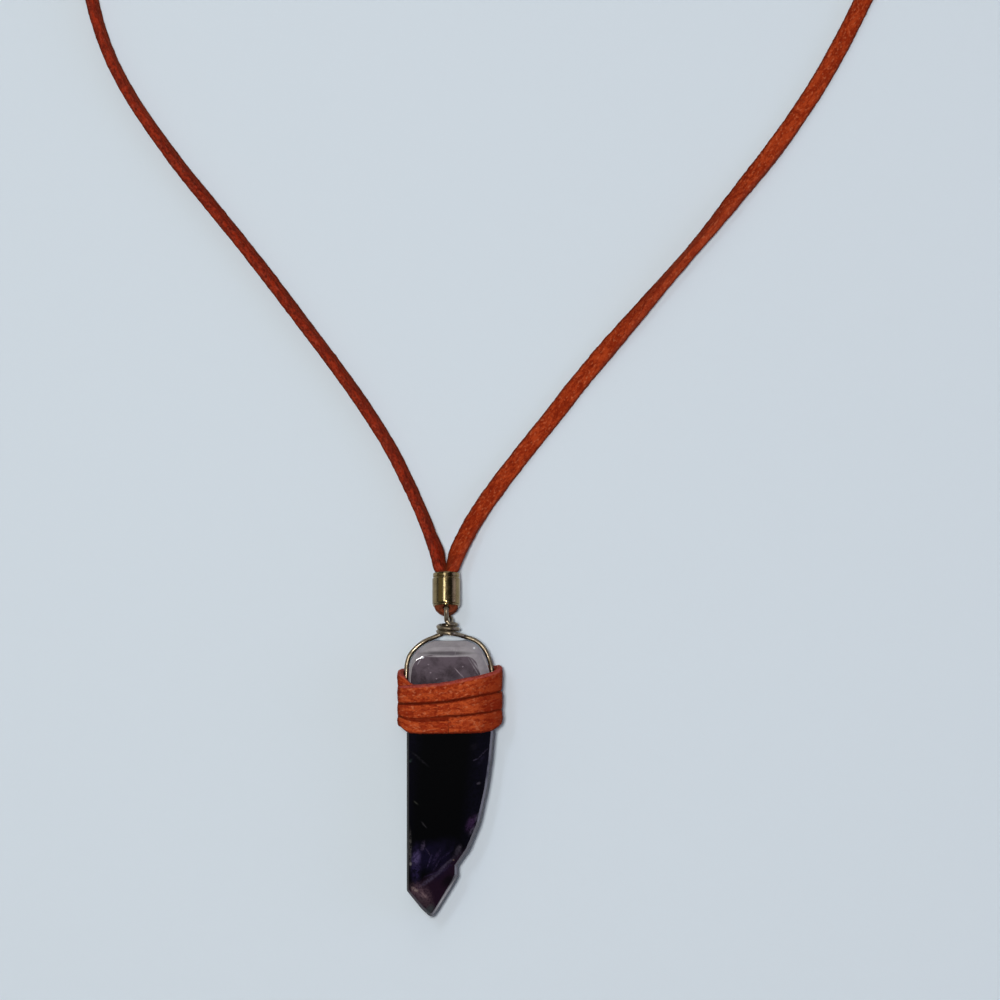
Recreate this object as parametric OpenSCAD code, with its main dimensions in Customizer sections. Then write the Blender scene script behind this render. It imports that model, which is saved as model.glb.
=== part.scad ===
/* [Crystal] */
// Thickness of the cut slab
slab_t = 5.6; // [5:0.1:6]
// Width of the bevel round the back face
back_bevel_w = 0.3; // [0.2:0.05:0.5]

/* [Lace] */
// Width of the suede lace
lace_w = 2.9; // [2.8:0.05:2.95]
// Thickness of the suede lace
lace_t = 1.4; // [1.3:0.05:1.45]
// Size of the worn corner along the lace's edges
lace_corner = 0.35; // [0.25:0.05:0.4]

/* [Wrap] */
// Thickness of the lace where it is wound tight
wound_t = 1.1; // [1.05:0.05:1.2]
// Width of the lace where it is wound tight
wound_w = 2.7; // [2.6:0.02:2.72]
// Small gap between wound lace and what it holds
wrap_gap = 0.06; // [0.05:0.01:0.08]

/* [Wire] */
// Diameter of the brass wire
wire_d = 0.74; // [0.68:0.01:0.76]
// Radius of the coil's upper turn
coil_r = 1.4; // [1.38:0.01:1.45]

/* [Ferrule] */
// Outer diameter of the ferrule's barrel
ferrule_d = 4.66; // [4.5:0.02:4.8]
// Diameter of the ferrule's bore
ferrule_bore_d = 3.96; // [3.9:0.02:4]
// Angle by which the ferrule hangs below the crystal's plane
droop = 12; // [8:1:14]

/* [Clasp] */
// Length of the barrel clasp
clasp_len = 16; // [14:0.5:17]
// Diameter of the barrel clasp
clasp_d = 4.6; // [4.4:0.1:5]

/* [Hidden] */
$fn = 48;

// Crystal outline seen from the front, clockwise from the lower left corner.
// Columns: x, y, corner radius, front bevel width, front bevel drop
OUTLINE = [
    [-7.2, -24.3, 0.5, 0.35, 0.3],
    [-4.8, -27.3, 3.0, 0.5, 0.5],
    [-3.1, -28.9, 0.8, 0.5, 0.5],
    [-2.0, -27.5, 2.0, 0.55, 0.5],
    [0.8, -22.9, 3.0, 0.6, 0.5],
    [1.37, -21.7, 0.6, 0.6, 0.5],
    [1.27, -20.2, 0.5, 0.5, 0.5],
    [3.22, -17.5, 4.0, 0.6, 0.5],
    [5.02, -13.2, 12.0, 0.6, 0.5],
    [6.32, -7.2, 20.0, 0.6, 0.5],
    [7.0, -2.4, 14.0, 0.6, 0.5],
    [7.4, 2.35, 1.0, 0.6, 0.5],
    [6.9, 3.15, 0.5, 0.7, 0.6],
    [6.55, 12.2, 5.0, 1.6, 0.9],
    [5.91, 14.55, 3.0, 1.7, 1.1],
    [5.1, 15.85, 2.0, 2.0, 1.3],
    [4.1, 16.7, 2.0, 2.3, 1.45],
    [2.75, 17.25, 1.0, 2.55, 1.55],
    [-2.8, 17.25, 1.0, 2.55, 1.55],
    [-4.25, 16.55, 2.0, 1.9, 1.35],
    [-5.45, 15.62, 2.0, 1.2, 1.1],
    [-6.38, 14.45, 2.0, 0.8, 0.75],
    [-6.8, 13.1, 3.0, 0.55, 0.5],
    [-6.9, 11.6, 3.0, 0.4, 0.4],
    [-6.9, 2.9, 0.6, 0.4, 0.35],
    [-7.2, 1.95, 0.8, 0.35, 0.3],
];

// Height of the wound lace's centreline at each corner that it passes, from the back left corner on.
// The front left corner is every fourth one from corner 4.
WOUND_RISE = [
    [3, 2.93], [4, 2.93], [5, 3.85], [6, 4.4],
    [7, 5.68], [8, 5.68], [9, 7.05], [10, 7.4],
    [11, 8.43], [12, 8.5], [13, 10.2], [14, 11.5],
    [15, 11.3], [16, 11.25],
];

// Wire arms from under the wrap up to the coil, and where they run beside the crystal. Columns: x, y, z
wire_x = 7.3;
LEFT_ARM = [[-wire_x, 3.6, 0], [-wire_x, 7.5, 0], [-wire_x, 11.6, 0], [-7.2, 13.2, 0], [-6.75, 14.7, 0],
    [-5.75, 15.95, 0], [-4.5, 16.95, 0], [-2.6, 17.8, -0.4], [-1.4, 18.35, -0.45]];
RIGHT_ARM = [[2.4, 17.9, 0], [4.4, 17.1, 0], [5.5, 16.1, 0], [6.27, 14.75, 0], [6.7, 13.5, 0],
    [6.95, 12.3, 0], [7.05, 10.9, 0], [7.2, 7.5, 0], [wire_x, 3.6, 0]];

// Left lace from the ferrule up and round to the clasp, as it lies.
// Columns: x, y, roll towards the inside of the loop in degrees, lift above the surface
LEFT_ROUTE = [
    [-1.75, 29.75, 68, 2.4],
    [-2.1, 31.4, 57, 2.1],
    [-3.35, 34.9, 66, 1.15],
    [-5.05, 39.1, 69, 0.45],
    [-6.95, 43.3, 66, 0.12],
    [-10.05, 49.4, 66, 0],
    [-14.0, 55.7, 67, 0],
    [-18.8, 62.5, 68, 0],
    [-24.9, 70.6, 68, 0],
    [-30.15, 77.55, 65, 0],
    [-34.75, 83.45, 65, 0],
    [-40.0, 89.9, 66, 0],
    [-45.0, 96.1, 67, 0],
    [-49.55, 102.3, 69, 0],
    [-53.55, 108.4, 71, 0],
    [-56.6, 114.3, 72, 0],
    [-58.9, 120.8, 70, 0],
    [-60.4, 128.0, 64, 0],
    [-61.4, 136.0, 56, 0],
    [-61.7, 145.0, 48, 0],
    [-61.0, 154.0, 42, 0],
    [-59.1, 163.0, 38, 0],
    [-56.0, 172.0, 34, 0],
    [-51.7, 180.8, 30, 0],
    [-46.2, 189.1, 26, 0],
    [-39.5, 196.8, 22, 0],
    [-31.7, 203.7, 18, 0],
    [-23.2, 209.7, 14, 0.1],
    [-15.0, 214.6, 8, 0.6],
    [-8.2, 218.3, 2, 1.3],
];
// Right lace in the same columns
RIGHT_ROUTE = [
    [0.52, 29.75, 68, 2.4],
    [1.05, 31.4, 45, 2.2],
    [2.6, 34.7, 32, 1.5],
    [4.85, 38.5, 12, 0.85],
    [8.0, 43.0, 4, 0.4],
    [12.2, 48.45, 0, 0.1],
    [16.7, 54.05, 2, 0],
    [21.6, 60.3, 8, 0],
    [26.6, 66.25, 26, 0],
    [30.9, 71.25, 50, 0],
    [35.2, 76.25, 66, 0],
    [39.85, 81.6, 72, 0],
    [44.25, 86.85, 62, 0],
    [48.3, 91.95, 44, 0],
    [52.9, 97.65, 24, 0],
    [57.3, 103.7, 8, 0],
    [61.6, 110.3, 0, 0],
    [65.1, 116.5, 0, 0],
    [68.7, 123.7, 0, 0],
    [72.0, 131.2, 0, 0],
    [74.4, 139.4, 2, 0],
    [75.8, 148.0, 4, 0],
    [75.9, 157.0, 6, 0],
    [74.6, 166.0, 8, 0],
    [71.8, 174.8, 10, 0],
    [67.5, 183.2, 10, 0],
    [61.7, 191.2, 10, 0],
    [54.6, 198.4, 8, 0],
    [46.4, 204.8, 6, 0],
    [37.5, 210.2, 4, 0],
    [28.6, 214.6, 2, 0.5],
    [19.6, 218.2, 0, 1.2],
];

// Places of the eye, the neck of the wire and the clasp
eye = [-0.63, 22.5];
neck_x = -0.55;
clasp_at = [5.2, 220];

slab_half = slab_t / 2;
wrap_inner = [wire_x + wire_d / 2 + wrap_gap, slab_half + wrap_gap];
wrap_corner = 0.8;
wrap_half_depth = wrap_inner[1] + wound_t;
wrap_low = WOUND_RISE[0][1] - wound_w / 2 + lace_corner;
// The rounded tip touches the surface a little above its outline's lowest corner
tip_rest = 0.9;
tip_low = min([for (p = OUTLINE) p[1]]) + tip_rest;
// Tilt at which the crystal's tip and the wrap's lower edge both touch the surface
lay_tilt = atan((wrap_half_depth - slab_half) / (wrap_low - tip_low));
lay_lift = wrap_half_depth * cos(lay_tilt) - wrap_low * sin(lay_tilt);

eye_half_z = 1.95;
eye_corner = 0.55;
fold_w = 2.7;
fold_hole_r = 0.46;
fold_thin = 0.7;
fold_thick = 1.3;
leg_x = 0.8;
ferrule_low = 0.4;
ferrule_high = 6;
lace_joint = 2.5;
end_gap = 0.05;
clasp_bore_d = 3.14;
clasp_bore_depth = 4.4;

function unit(v) = v / norm(v);
function turned(v, a) = [v[0], v[1] * cos(a) - v[2] * sin(a), v[1] * sin(a) + v[2] * cos(a)];
// A point of the crystal's frame as it lies on the surface
function laid_point(p) = turned(p, lay_tilt) + [0, 0, lay_lift];
// A point of the ferrule's frame, whose origin is the eye, in the crystal's frame
function hung_point(p) = [eye[0], eye[1], 0] + turned(p, -droop);

// Closed lace section seen along it, first coordinate across the width
function lace_section(w, t, c) = [
    [-w / 2, -t / 2 + c], [-w / 2 + c, -t / 2], [w / 2 - c, -t / 2], [w / 2, -t / 2 + c],
    [w / 2, t / 2 - c], [w / 2 - c, t / 2], [-w / 2 + c, t / 2], [-w / 2, t / 2 - c],
];
function rest_height(roll) = max([for (q = lace_section(lace_w, lace_t, lace_corner))
    abs(q[1] * cos(roll) - q[0] * sin(roll))]);

// Tangent at each point of a route
function tangents(p) = [for (i = [0:len(p) - 1]) unit(p[min(i + 1, len(p) - 1)] - p[max(i - 1, 0)])];
// Places a section across direction w and along direction n at point p
function placed(section, p, w, n) = [for (q = section) p + q[0] * w + q[1] * n];

// Solid through rings of the same number of points
module skin(rings) {
    n = len(rings[0]);
    count = len(rings);
    sides = [for (i = [0:count - 2], j = [0:n - 1], k = [0, 1])
        let (a = i * n + j, b = i * n + (j + 1) % n)
        k == 0 ? [a, b, b + n] : [a, b + n, a + n]];
    caps = [[for (j = [n - 1:-1:0]) j], [for (j = [0:n - 1]) (count - 1) * n + j]];
    polyhedron([for (ring = rings) each ring], concat(sides, caps), convexity = 8);
}

// Crystal
// Corner of a closed outline rounded by a short curve between its two sides
function rounded(pts, radii, steps) = [for (i = [0:len(pts) - 1])
    let (n = len(pts), c = pts[i], u = pts[(i + n - 1) % n] - c, v = pts[(i + 1) % n] - c)
    let (half = acos(max(-1, min(1, unit(u) * unit(v)))) / 2)
    let (reach = min(radii[i] / tan(half), 0.45 * norm(u), 0.45 * norm(v)))
    let (a = c + unit(u) * reach, b = c + unit(v) * reach)
    for (k = [0:steps]) let (s = k / steps) a * pow(1 - s, 2) + c * 2 * s * (1 - s) + b * pow(s, 2)];
// Corners of a clockwise outline moved inwards by a width of their own
function inset(pts, widths) = [for (i = [0:len(pts) - 1])
    let (n = len(pts), a = unit(pts[i] - pts[(i + n - 1) % n]), b = unit(pts[(i + 1) % n] - pts[i]))
    let (na = [-a[1], a[0]], nb = [-b[1], b[0]])
    pts[i] + (na + nb) / (1 + na * nb) * widths[i]];
// One ring of the crystal: share of the bevel width already turned in, and its height at each corner
function crystal_ring(share, front) =
    let (corners = [for (r = OUTLINE) [r[0], r[1]]])
    let (widths = [for (r = OUTLINE) share * (front ? r[3] : back_bevel_w)])
    let (drops = [for (r = OUTLINE) r[4] * pow(1 - share, 1.7)])
    let (steps = 3, inner = inset(corners, widths))
    let (ring = rounded(inner, [for (i = [0:len(OUTLINE) - 1]) max(0.1, OUTLINE[i][2] - widths[i])], steps))
    [for (i = [0:len(ring) - 1])
        let (k = floor(i / (steps + 1)))
        [ring[i][0], ring[i][1], front ? slab_half - drops[k] : -slab_half + (1 - share) * back_bevel_w]];

module crystal() {
    color([0.13, 0.09, 0.16])
        laid() skin([crystal_ring(1, true), crystal_ring(0.4, true), crystal_ring(0, true),
            crystal_ring(0, false), crystal_ring(1, false)]);
}

// Wrap
corner_signs = [[-1, 1], [1, 1], [1, -1], [-1, -1]];
corner_start = [180, 90, 0, 270];
// Place on the way round, in x and z, at an angle within one of the four corners
function track(corner, bend, out) =
    let (s = corner_signs[corner % 4], a = corner_start[corner % 4] - bend, r = wrap_corner + out)
    [s[0] * (wrap_inner[0] - wrap_corner) + r * cos(a), s[1] * (wrap_inner[1] - wrap_corner) + r * sin(a)];
bends = [0:22.5:90];
// Share of a side that the corner's curve takes, for reading the heights
bend_share = 0.1;
last_corner = WOUND_RISE[len(WOUND_RISE) - 1][0];
function wound_points() = [for (corner = [WOUND_RISE[0][0]:last_corner - 1], bend = bends)
    let (t = track(corner, bend, wound_t / 2))
    [t[0], lookup(corner + (bend - 45) / 45 * bend_share, WOUND_RISE), t[1]]];
function wound_rings(p) =
    let (t = tangents(p))
    [for (i = [0:len(p) - 1])
        let (w = unit([0, 1, 0] - t[i][1] * t[i]))
        placed(lace_section(wound_w, wound_t, lace_corner), p[i], w, cross(t[i], w))];

module wrap() {
    color([0.59, 0.21, 0.09]) laid() skin(wound_rings(wound_points()));
}

// Wire bail
wire_sides = 8;
coil_turns = 2;
coil_top = 20.05;
coil_low = 18.55;
coil_steps = 16;
// How much the coil widens and moves to the right from its top to its bottom
coil_widening = 0.35;
coil_shift = 0.35;
// The eye in the ferrule's frame: up behind the fold, across through it and down in front.
// Columns: along, distance from the middle, how far the back leg stands to the right of the front one
eye_side = [[-2.35, 0.25, 0.7], [-2.0, 0.9, 0.85], [-1.55, 1.5, 0.8], [-1.0, 1.88, 0.5]];
eye_bend = [for (a = [0:22.5:90])
    [eye_corner * sin(a) - eye_corner, eye_half_z + eye_corner * (cos(a) - 1), 0]];
eye_half = concat(eye_side, eye_bend);
eye_points = concat(
    [for (q = eye_half) hung_point([q[2], q[0], -q[1]])],
    [for (i = [len(eye_half) - 1:-1:1]) hung_point([0, eye_half[i][0], eye_half[i][1]])]);
coil_start = 70;
// Angle by which the coil ends short of its full turns
coil_short = 20;
coil_points = [for (i = [0:coil_turns * coil_steps])
    let (s = i / (coil_turns * coil_steps), a = coil_start - s * (360 * coil_turns - coil_short))
    let (r = coil_r + coil_widening * s)
    [neck_x + coil_shift * s + r * cos(a), coil_top + (coil_low - coil_top) * s, r * sin(a)]];
wire_points = concat(LEFT_ARM, [[-0.7, 18.95, -0.3], [-0.2, 19.5, -0.3]], eye_points, coil_points, RIGHT_ARM);
// Direction across the wire carried along it without twist
function carried(t, n) = unit(n - (n * t) * t);
function wire_rings(p) =
    let (t = tangents(p))
    let (across = [for (i = 0, n = carried(t[0], [0, 0, 1]); i < len(p);
        i = i + 1, n = carried(t[min(i, len(p) - 1)], n)) n])
    [for (i = [0:len(p) - 1]) [for (k = [0:wire_sides - 1])
        let (a = 360 * k / wire_sides)
        p[i] + wire_d / 2 * (cos(a) * across[i] + sin(a) * cross(t[i], across[i]))]];

module wire_bail() {
    color([0.55, 0.47, 0.3]) laid() skin(wire_rings(wire_points));
}

// Ferrule. Columns of the profile: place along the axis, radius
ferrule_r = ferrule_d / 2;
FERRULE_PROFILE = [
    [ferrule_low, ferrule_r - 0.2], [ferrule_low + 0.1, ferrule_r - 0.1], [0.65, ferrule_r - 0.1],
    [0.72, ferrule_r - 0.18], [0.8, ferrule_r - 0.04], [0.9, ferrule_r], [5.0, ferrule_r],
    [5.08, ferrule_r - 0.04], [5.14, ferrule_r - 0.2], [5.28, ferrule_r - 0.2], [5.36, ferrule_r - 0.08],
    [5.75, ferrule_r - 0.08], [ferrule_high - 0.08, ferrule_r - 0.12], [ferrule_high, ferrule_r - 0.2],
];

module ferrule() {
    color([0.6, 0.53, 0.28]) laid() hung() rotate([-90, 0, 0]) difference() {
        rotate_extrude() polygon(concat([[0, ferrule_low]], [for (q = FERRULE_PROFILE) [q[1], q[0]]],
            [[0, ferrule_high]]));
        translate([0, 0, ferrule_low - 1]) cylinder(h = ferrule_high + 2, d = ferrule_bore_d);
    }
}

// Lace fold: the lace's middle bent round the eye, with both legs side by side in the ferrule
FOLD_LEG = [[leg_x, lace_joint], [leg_x, 1.5], [0.92, 0.7]];
fold_angles = [for (a = [0:-15:-180]) a];
function fold_thickness(a) = fold_thick + (fold_thin - fold_thick) * pow(sin(a), 2);
fold_path = concat(
    [for (q = FOLD_LEG) [q[0], q[1], fold_thick]],
    [for (a = fold_angles) let (thick = fold_thickness(a), r = fold_hole_r + thick / 2)
        [r * cos(a), r * sin(a), thick]],
    [for (i = [len(FOLD_LEG) - 1:-1:0]) [-FOLD_LEG[i][0], FOLD_LEG[i][1], fold_thick]]);

module lace_fold() {
    p = [for (q = fold_path) [q[0], q[1], 0]];
    t = tangents(p);
    color([0.55, 0.18, 0.08]) laid() hung()
        skin([for (i = [0:len(p) - 1]) let (section = lace_section(fold_w, fold_path[i][2], lace_corner))
            placed(section, p[i], [0, 0, 1], cross(t[i], [0, 0, 1]))]);
}

// Laces
// A lace as it lies: route rows turned into places, with its start in the ferrule and its end in the clasp
function lying(row) = [row[0], row[1], rest_height(row[2]) + row[3]];
function ferrule_points(side) = [for (along = [lace_joint + end_gap, ferrule_high])
    laid_point(hung_point([side * leg_x, along, 0]))];
function clasp_points(side) = [for (along = [clasp_len / 2, clasp_len / 2 - clasp_bore_depth + end_gap])
    [clasp_at[0] + side * along, clasp_at[1], clasp_d / 2]];
function lace_points(route, side) =
    concat(ferrule_points(side), [for (r = route) lying(r)], clasp_points(side));
function lace_rolls(route) = concat([90, 90], [for (r = route) r[2]], [0, 0]);
function lace_rings(route, side) =
    let (p = lace_points(route, side), t = tangents(p), roll = lace_rolls(route))
    [for (i = [0:len(p) - 1])
        let (right = unit(cross(t[i], [0, 0, 1])), up = cross(right, t[i]), lean = -side * roll[i])
        placed(lace_section(lace_w, lace_t, lace_corner), p[i],
            right * cos(lean) - up * sin(lean), right * sin(lean) + up * cos(lean))];

module lace_left() {
    color([0.59, 0.21, 0.09]) skin(lace_rings(LEFT_ROUTE, -1));
}

module lace_right() {
    color([0.63, 0.24, 0.1]) skin(lace_rings(RIGHT_ROUTE, 1));
}

// Clasp. Columns of the half profile: place along the axis, radius
clasp_r = clasp_d / 2;
CLASP_PROFILE = [
    [0, clasp_r - 0.3], [0.25, clasp_r - 0.3], [0.4, clasp_r], [clasp_len / 2 - 1.6, clasp_r],
    [clasp_len / 2 - 1.4, clasp_r - 0.2], [clasp_len / 2 - 1.1, clasp_r - 0.2],
    [clasp_len / 2 - 0.9, clasp_r - 0.05], [clasp_len / 2 - 0.2, clasp_r - 0.05],
    [clasp_len / 2, clasp_r - 0.3],
];

// The profile from one end of the clasp to the other
function clasp_outline() = concat(
    [for (i = [len(CLASP_PROFILE) - 1:-1:0]) [CLASP_PROFILE[i][1], CLASP_PROFILE[i][0]]],
    [for (i = [1:len(CLASP_PROFILE) - 1]) [CLASP_PROFILE[i][1], -CLASP_PROFILE[i][0]]]);

module clasp() {
    color([0.6, 0.53, 0.28])
        translate([clasp_at[0], clasp_at[1], clasp_r]) rotate([0, 90, 0]) difference() {
            rotate_extrude() polygon(concat([[0, clasp_len / 2]], clasp_outline(), [[0, -clasp_len / 2]]));
            for (side = [-1, 1])
                translate([0, 0, side * (clasp_len / 2 - clasp_bore_depth / 2 + 0.5)])
                    cylinder(h = clasp_bore_depth + 1, d = clasp_bore_d, center = true);
        }
}

// The crystal's frame as it lies on the surface, and the ferrule's frame within it
module laid() {
    translate([0, 0, lay_lift]) rotate([lay_tilt, 0, 0]) children();
}

module hung() {
    translate([eye[0], eye[1], 0]) rotate([-droop, 0, 0]) children();
}

crystal();
wrap();
wire_bail();
ferrule();
lace_fold();
lace_left();
lace_right();
clasp();
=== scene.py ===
"""Crystal pendant necklace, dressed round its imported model: suede laces, amethyst slab, wire bail and ferrule."""
import logging
import math
from dataclasses import dataclass
from enum import Enum
from typing import Any, Callable, Iterable, Sequence

import bmesh
import bpy
from mathutils import Matrix, Vector, noise
from mathutils.geometry import interpolate_bezier


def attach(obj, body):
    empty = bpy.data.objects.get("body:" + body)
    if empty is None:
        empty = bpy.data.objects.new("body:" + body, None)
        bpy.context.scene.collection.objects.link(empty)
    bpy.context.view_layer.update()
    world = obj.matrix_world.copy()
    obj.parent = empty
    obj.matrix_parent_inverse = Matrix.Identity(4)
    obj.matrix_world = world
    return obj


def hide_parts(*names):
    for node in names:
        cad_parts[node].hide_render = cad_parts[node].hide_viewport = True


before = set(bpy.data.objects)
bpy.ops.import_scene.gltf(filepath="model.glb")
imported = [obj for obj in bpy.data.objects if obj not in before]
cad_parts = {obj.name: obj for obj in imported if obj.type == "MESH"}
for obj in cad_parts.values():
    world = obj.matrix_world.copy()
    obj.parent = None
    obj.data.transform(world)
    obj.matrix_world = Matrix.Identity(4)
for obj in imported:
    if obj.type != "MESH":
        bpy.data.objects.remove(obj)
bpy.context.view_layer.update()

log = logging.getLogger("necklace")

MM = 0.001
BODY = "root"

# The crystal lies on its tip and on the wrap's lower edge. Depths from its middle plane, and places along it
SLAB_DEPTH = 2.8 * MM
WRAP_DEPTH = 3.96 * MM
TIP_LOW = -28.0 * MM
WRAP_LOW = 1.93 * MM
LAY_TILT = math.atan2(WRAP_DEPTH - SLAB_DEPTH, WRAP_LOW - TIP_LOW)
LAY_LIFT = WRAP_DEPTH * math.cos(LAY_TILT) - WRAP_LOW * math.sin(LAY_TILT)
LAID = Matrix.Translation((0, 0, LAY_LIFT)) @ Matrix.Rotation(LAY_TILT, 4, "X")
# The ferrule's frame starts at the wire's eye and leans down from there
EYE = (-0.63 * MM, 22.5 * MM, 0)
EYE_LEAN = math.radians(-12)
HUNG = LAID @ Matrix.Translation(EYE) @ Matrix.Rotation(EYE_LEAN, 4, "X")
# Turns of a piece built round the Z axis, so that it lies along Y or X
ALONG_Y = Matrix.Rotation(math.radians(-90), 4, "X")
ALONG_X = Matrix.Rotation(math.radians(90), 4, "Y")
# In millimetres: the ferrule's far end, how far out the laces in its bore reach, and the clasp's middle
FERRULE_END = 6.0
LACE_REACH = 1.93
CLASP_CENTRE = (5.2, 220, 2.3)
# Upright share of suede's normal at which it gets all of the painted flank shade, and at which it gets none
FLANK_SHADE_SLOPES = (0.3, 0.85)
# A lace's rim is worn between these distances from its cut edge, in millimetres
RIM_BAND = (0.4, 0.1)

Colour = tuple[float, float, float, float]


class Side(Enum):
    """Side of the loop on which a lace runs, seen from above."""

    LEFT = -1
    RIGHT = 1


class Slot(Enum):
    """Material slots of the record."""

    CRYSTAL = "crystal"
    SUEDE = "suede"
    WIRE = "wire"
    BRASS = "brass"


class Twist(Enum):
    """Ways in which a swept section keeps its direction."""

    UPRIGHT = "Z_UP"
    CARRIED = "MINIMUM"


# Numbers and lines


def tone(red: float, green: float, blue: float) -> Colour:
    """Linear colour of a screen colour.

    Args:
        red, green, blue: The screen colour, each from 0 to 255.

    Returns:
        The linear colour with full alpha.
    """
    shares = [part / 255 for part in (red, green, blue)]
    return (*(s / 12.92 if s <= 0.04045 else ((s + 0.055) / 1.055) ** 2.4 for s in shares), 1.0)


def lookup(rows: Sequence[Sequence[float]], place: float, column: int = 1) -> float:
    """Value of a table at a place between its rows.

    Args:
        rows: Rows in rising order of their first column.
        place: Place on the first column.
        column: Column to read.

    Returns:
        The value between the two nearest rows, or the end row's beyond them.
    """
    if place <= rows[0][0]:
        return rows[0][column]
    for low, high in zip(rows, rows[1:]):
        if place <= high[0]:
            share = (place - low[0]) / (high[0] - low[0])
            return low[column] + share * (high[column] - low[column])
    return rows[-1][column]


def smooth_share(low: float, high: float, value: float) -> float:
    """Share of the way from low to high, with a soft start and end.

    Args:
        low, high: Values at which the share is 0 and 1.
        value: The value between them.

    Returns:
        A number from 0 to 1.
    """
    share = min(1.0, max(0.0, (value - low) / (high - low)))
    return share * share * (3 - 2 * share)


def waves(place: Vector, count: float) -> float:
    """Soft noise from -1 to 1, with so many waves in a metre."""
    return noise.noise(place * count)


def flowing(points: Sequence[Vector], step: float) -> tuple[list[Vector], list[float]]:
    """Smooth line through points.

    Args:
        points: Points that the line passes.
        step: Longest distance between two samples.

    Returns:
        The samples, and the place of each in the list of points.
    """
    chords = [(b - a).length for a, b in zip(points, points[1:])]
    ways = [(b - a) / c for a, b, c in zip(points, points[1:], chords)]
    slopes = [ways[0]]
    for i in range(1, len(points) - 1):
        slopes.append((ways[i - 1] * chords[i] + ways[i] * chords[i - 1]) / (chords[i - 1] + chords[i]))
    slopes.append(ways[-1])
    samples, places = [points[0].copy()], [0.0]
    for i, chord in enumerate(chords):
        count = max(1, math.ceil(chord / step))
        reach = chord / 3
        bent = interpolate_bezier(points[i], points[i] + slopes[i] * reach,
                                  points[i + 1] - slopes[i + 1] * reach, points[i + 1], count + 1)
        samples += bent[1:]
        places += [i + (k + 1) / count for k in range(count)]
    return samples, places


# Meshes


@dataclass(frozen=True)
class LaceSection:
    """Section of a suede lace across its length, in millimetres."""

    width: float = 2.9
    thickness: float = 1.4
    corner: float = 0.36
    crown: float = 0.04
    spacing: float = 0.17

    def outline(self) -> list[tuple[float, float]]:
        """Closed outline, with the first number across the width.

        Returns:
            Points in metres, turning left.
        """
        half_w, half_t = self.width / 2, self.thickness / 2
        turns = max(2, round(self.corner * math.pi / 2 / self.spacing))
        across = max(2, round((self.width - 2 * self.corner) / self.spacing))
        through = max(2, round((self.thickness - 2 * self.corner) / self.spacing))
        corners = [(half_w, -half_t, -90, through), (half_w, half_t, 0, across),
                   (-half_w, half_t, 90, through), (-half_w, -half_t, 180, across)]
        points: list[tuple[float, float]] = []
        for i, (x, y, start, steps) in enumerate(corners):
            cx, cy = x - math.copysign(self.corner, x), y - math.copysign(self.corner, y)
            for k in range(turns + 1):
                a = math.radians(start + 90 * k / turns)
                points.append((cx + self.corner * math.cos(a), cy + self.corner * math.sin(a)))
            nx, ny = corners[(i + 1) % 4][:2]
            last = points[-1]
            ex = nx - math.copysign(self.corner, nx) if i % 2 else nx
            ey = ny if i % 2 else ny - math.copysign(self.corner, ny)
            for k in range(1, steps):
                share = k / steps
                bulge = self.crown * 4 * share * (1 - share)
                px, py = last[0] + (ex - last[0]) * share, last[1] + (ey - last[1]) * share
                points.append((px + (0 if i % 2 else math.copysign(bulge, px)),
                               py + (math.copysign(bulge, py) if i % 2 else 0)))
        return [(px * MM, py * MM) for px, py in points]


def collected(name: str, data: Any) -> bpy.types.Object:
    """Puts data in the scene as an object at the origin.

    Args:
        name: Name of the object.
        data: Its mesh, curve, light or camera.

    Returns:
        The new object.
    """
    piece = bpy.data.objects.new(name, data)
    bpy.context.scene.collection.objects.link(piece)
    return piece


def swept(path: Sequence[Vector], tilts: Sequence[float], outline: Sequence[tuple[float, float]],
          twist: Twist) -> bmesh.types.BMesh:
    """Sweeps a closed outline along a path, with both ends closed.

    Args:
        path: Points of the path.
        tilts: Turn of the outline about the path at each point, in radians.
        outline: The outline, across and up.
        twist: How the outline keeps its direction.

    Returns:
        A mesh whose points carry the layers ring and spot: their place on the path and on the outline.
    """
    section = bpy.data.curves.new("section", "CURVE")
    section.dimensions = "2D"
    loop = section.splines.new("POLY")
    loop.points.add(len(outline) - 1)
    for point, (x, y) in zip(loop.points, outline):
        point.co = (x, y, 0, 1)
    loop.use_cyclic_u = True
    line = bpy.data.curves.new("line", "CURVE")
    line.dimensions = "3D"
    line.twist_mode = twist.value
    line.bevel_mode = "OBJECT"
    line.bevel_object = collected("section", section)
    line.use_fill_caps = True
    spline = line.splines.new("POLY")
    spline.points.add(len(path) - 1)
    for point, place, tilt in zip(spline.points, path, tilts):
        point.co = (*place, 1)
        point.tilt = tilt
    holder = collected("line", line)
    bpy.context.view_layer.update()
    made = bpy.data.meshes.new_from_object(holder.evaluated_get(bpy.context.evaluated_depsgraph_get()))
    mesh = bmesh.new()
    mesh.from_mesh(made)
    for thing in (holder, line.bevel_object):
        bpy.data.objects.remove(thing)
    for data in (line, section):
        bpy.data.curves.remove(data)
    bpy.data.meshes.remove(made)
    ring = mesh.verts.layers.int.new("ring")
    spot = mesh.verts.layers.int.new("spot")
    around = len(outline)
    for i, vert in enumerate(mesh.verts):
        if i < 2 * around:
            vert[ring] = len(path) - 1 if i < around else 0
        else:
            vert[ring] = i // around - 2
        vert[spot] = i % around
    bmesh.ops.remove_doubles(mesh, verts=mesh.verts, dist=1e-6)
    bmesh.ops.recalc_face_normals(mesh, faces=mesh.faces)
    return mesh


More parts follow.
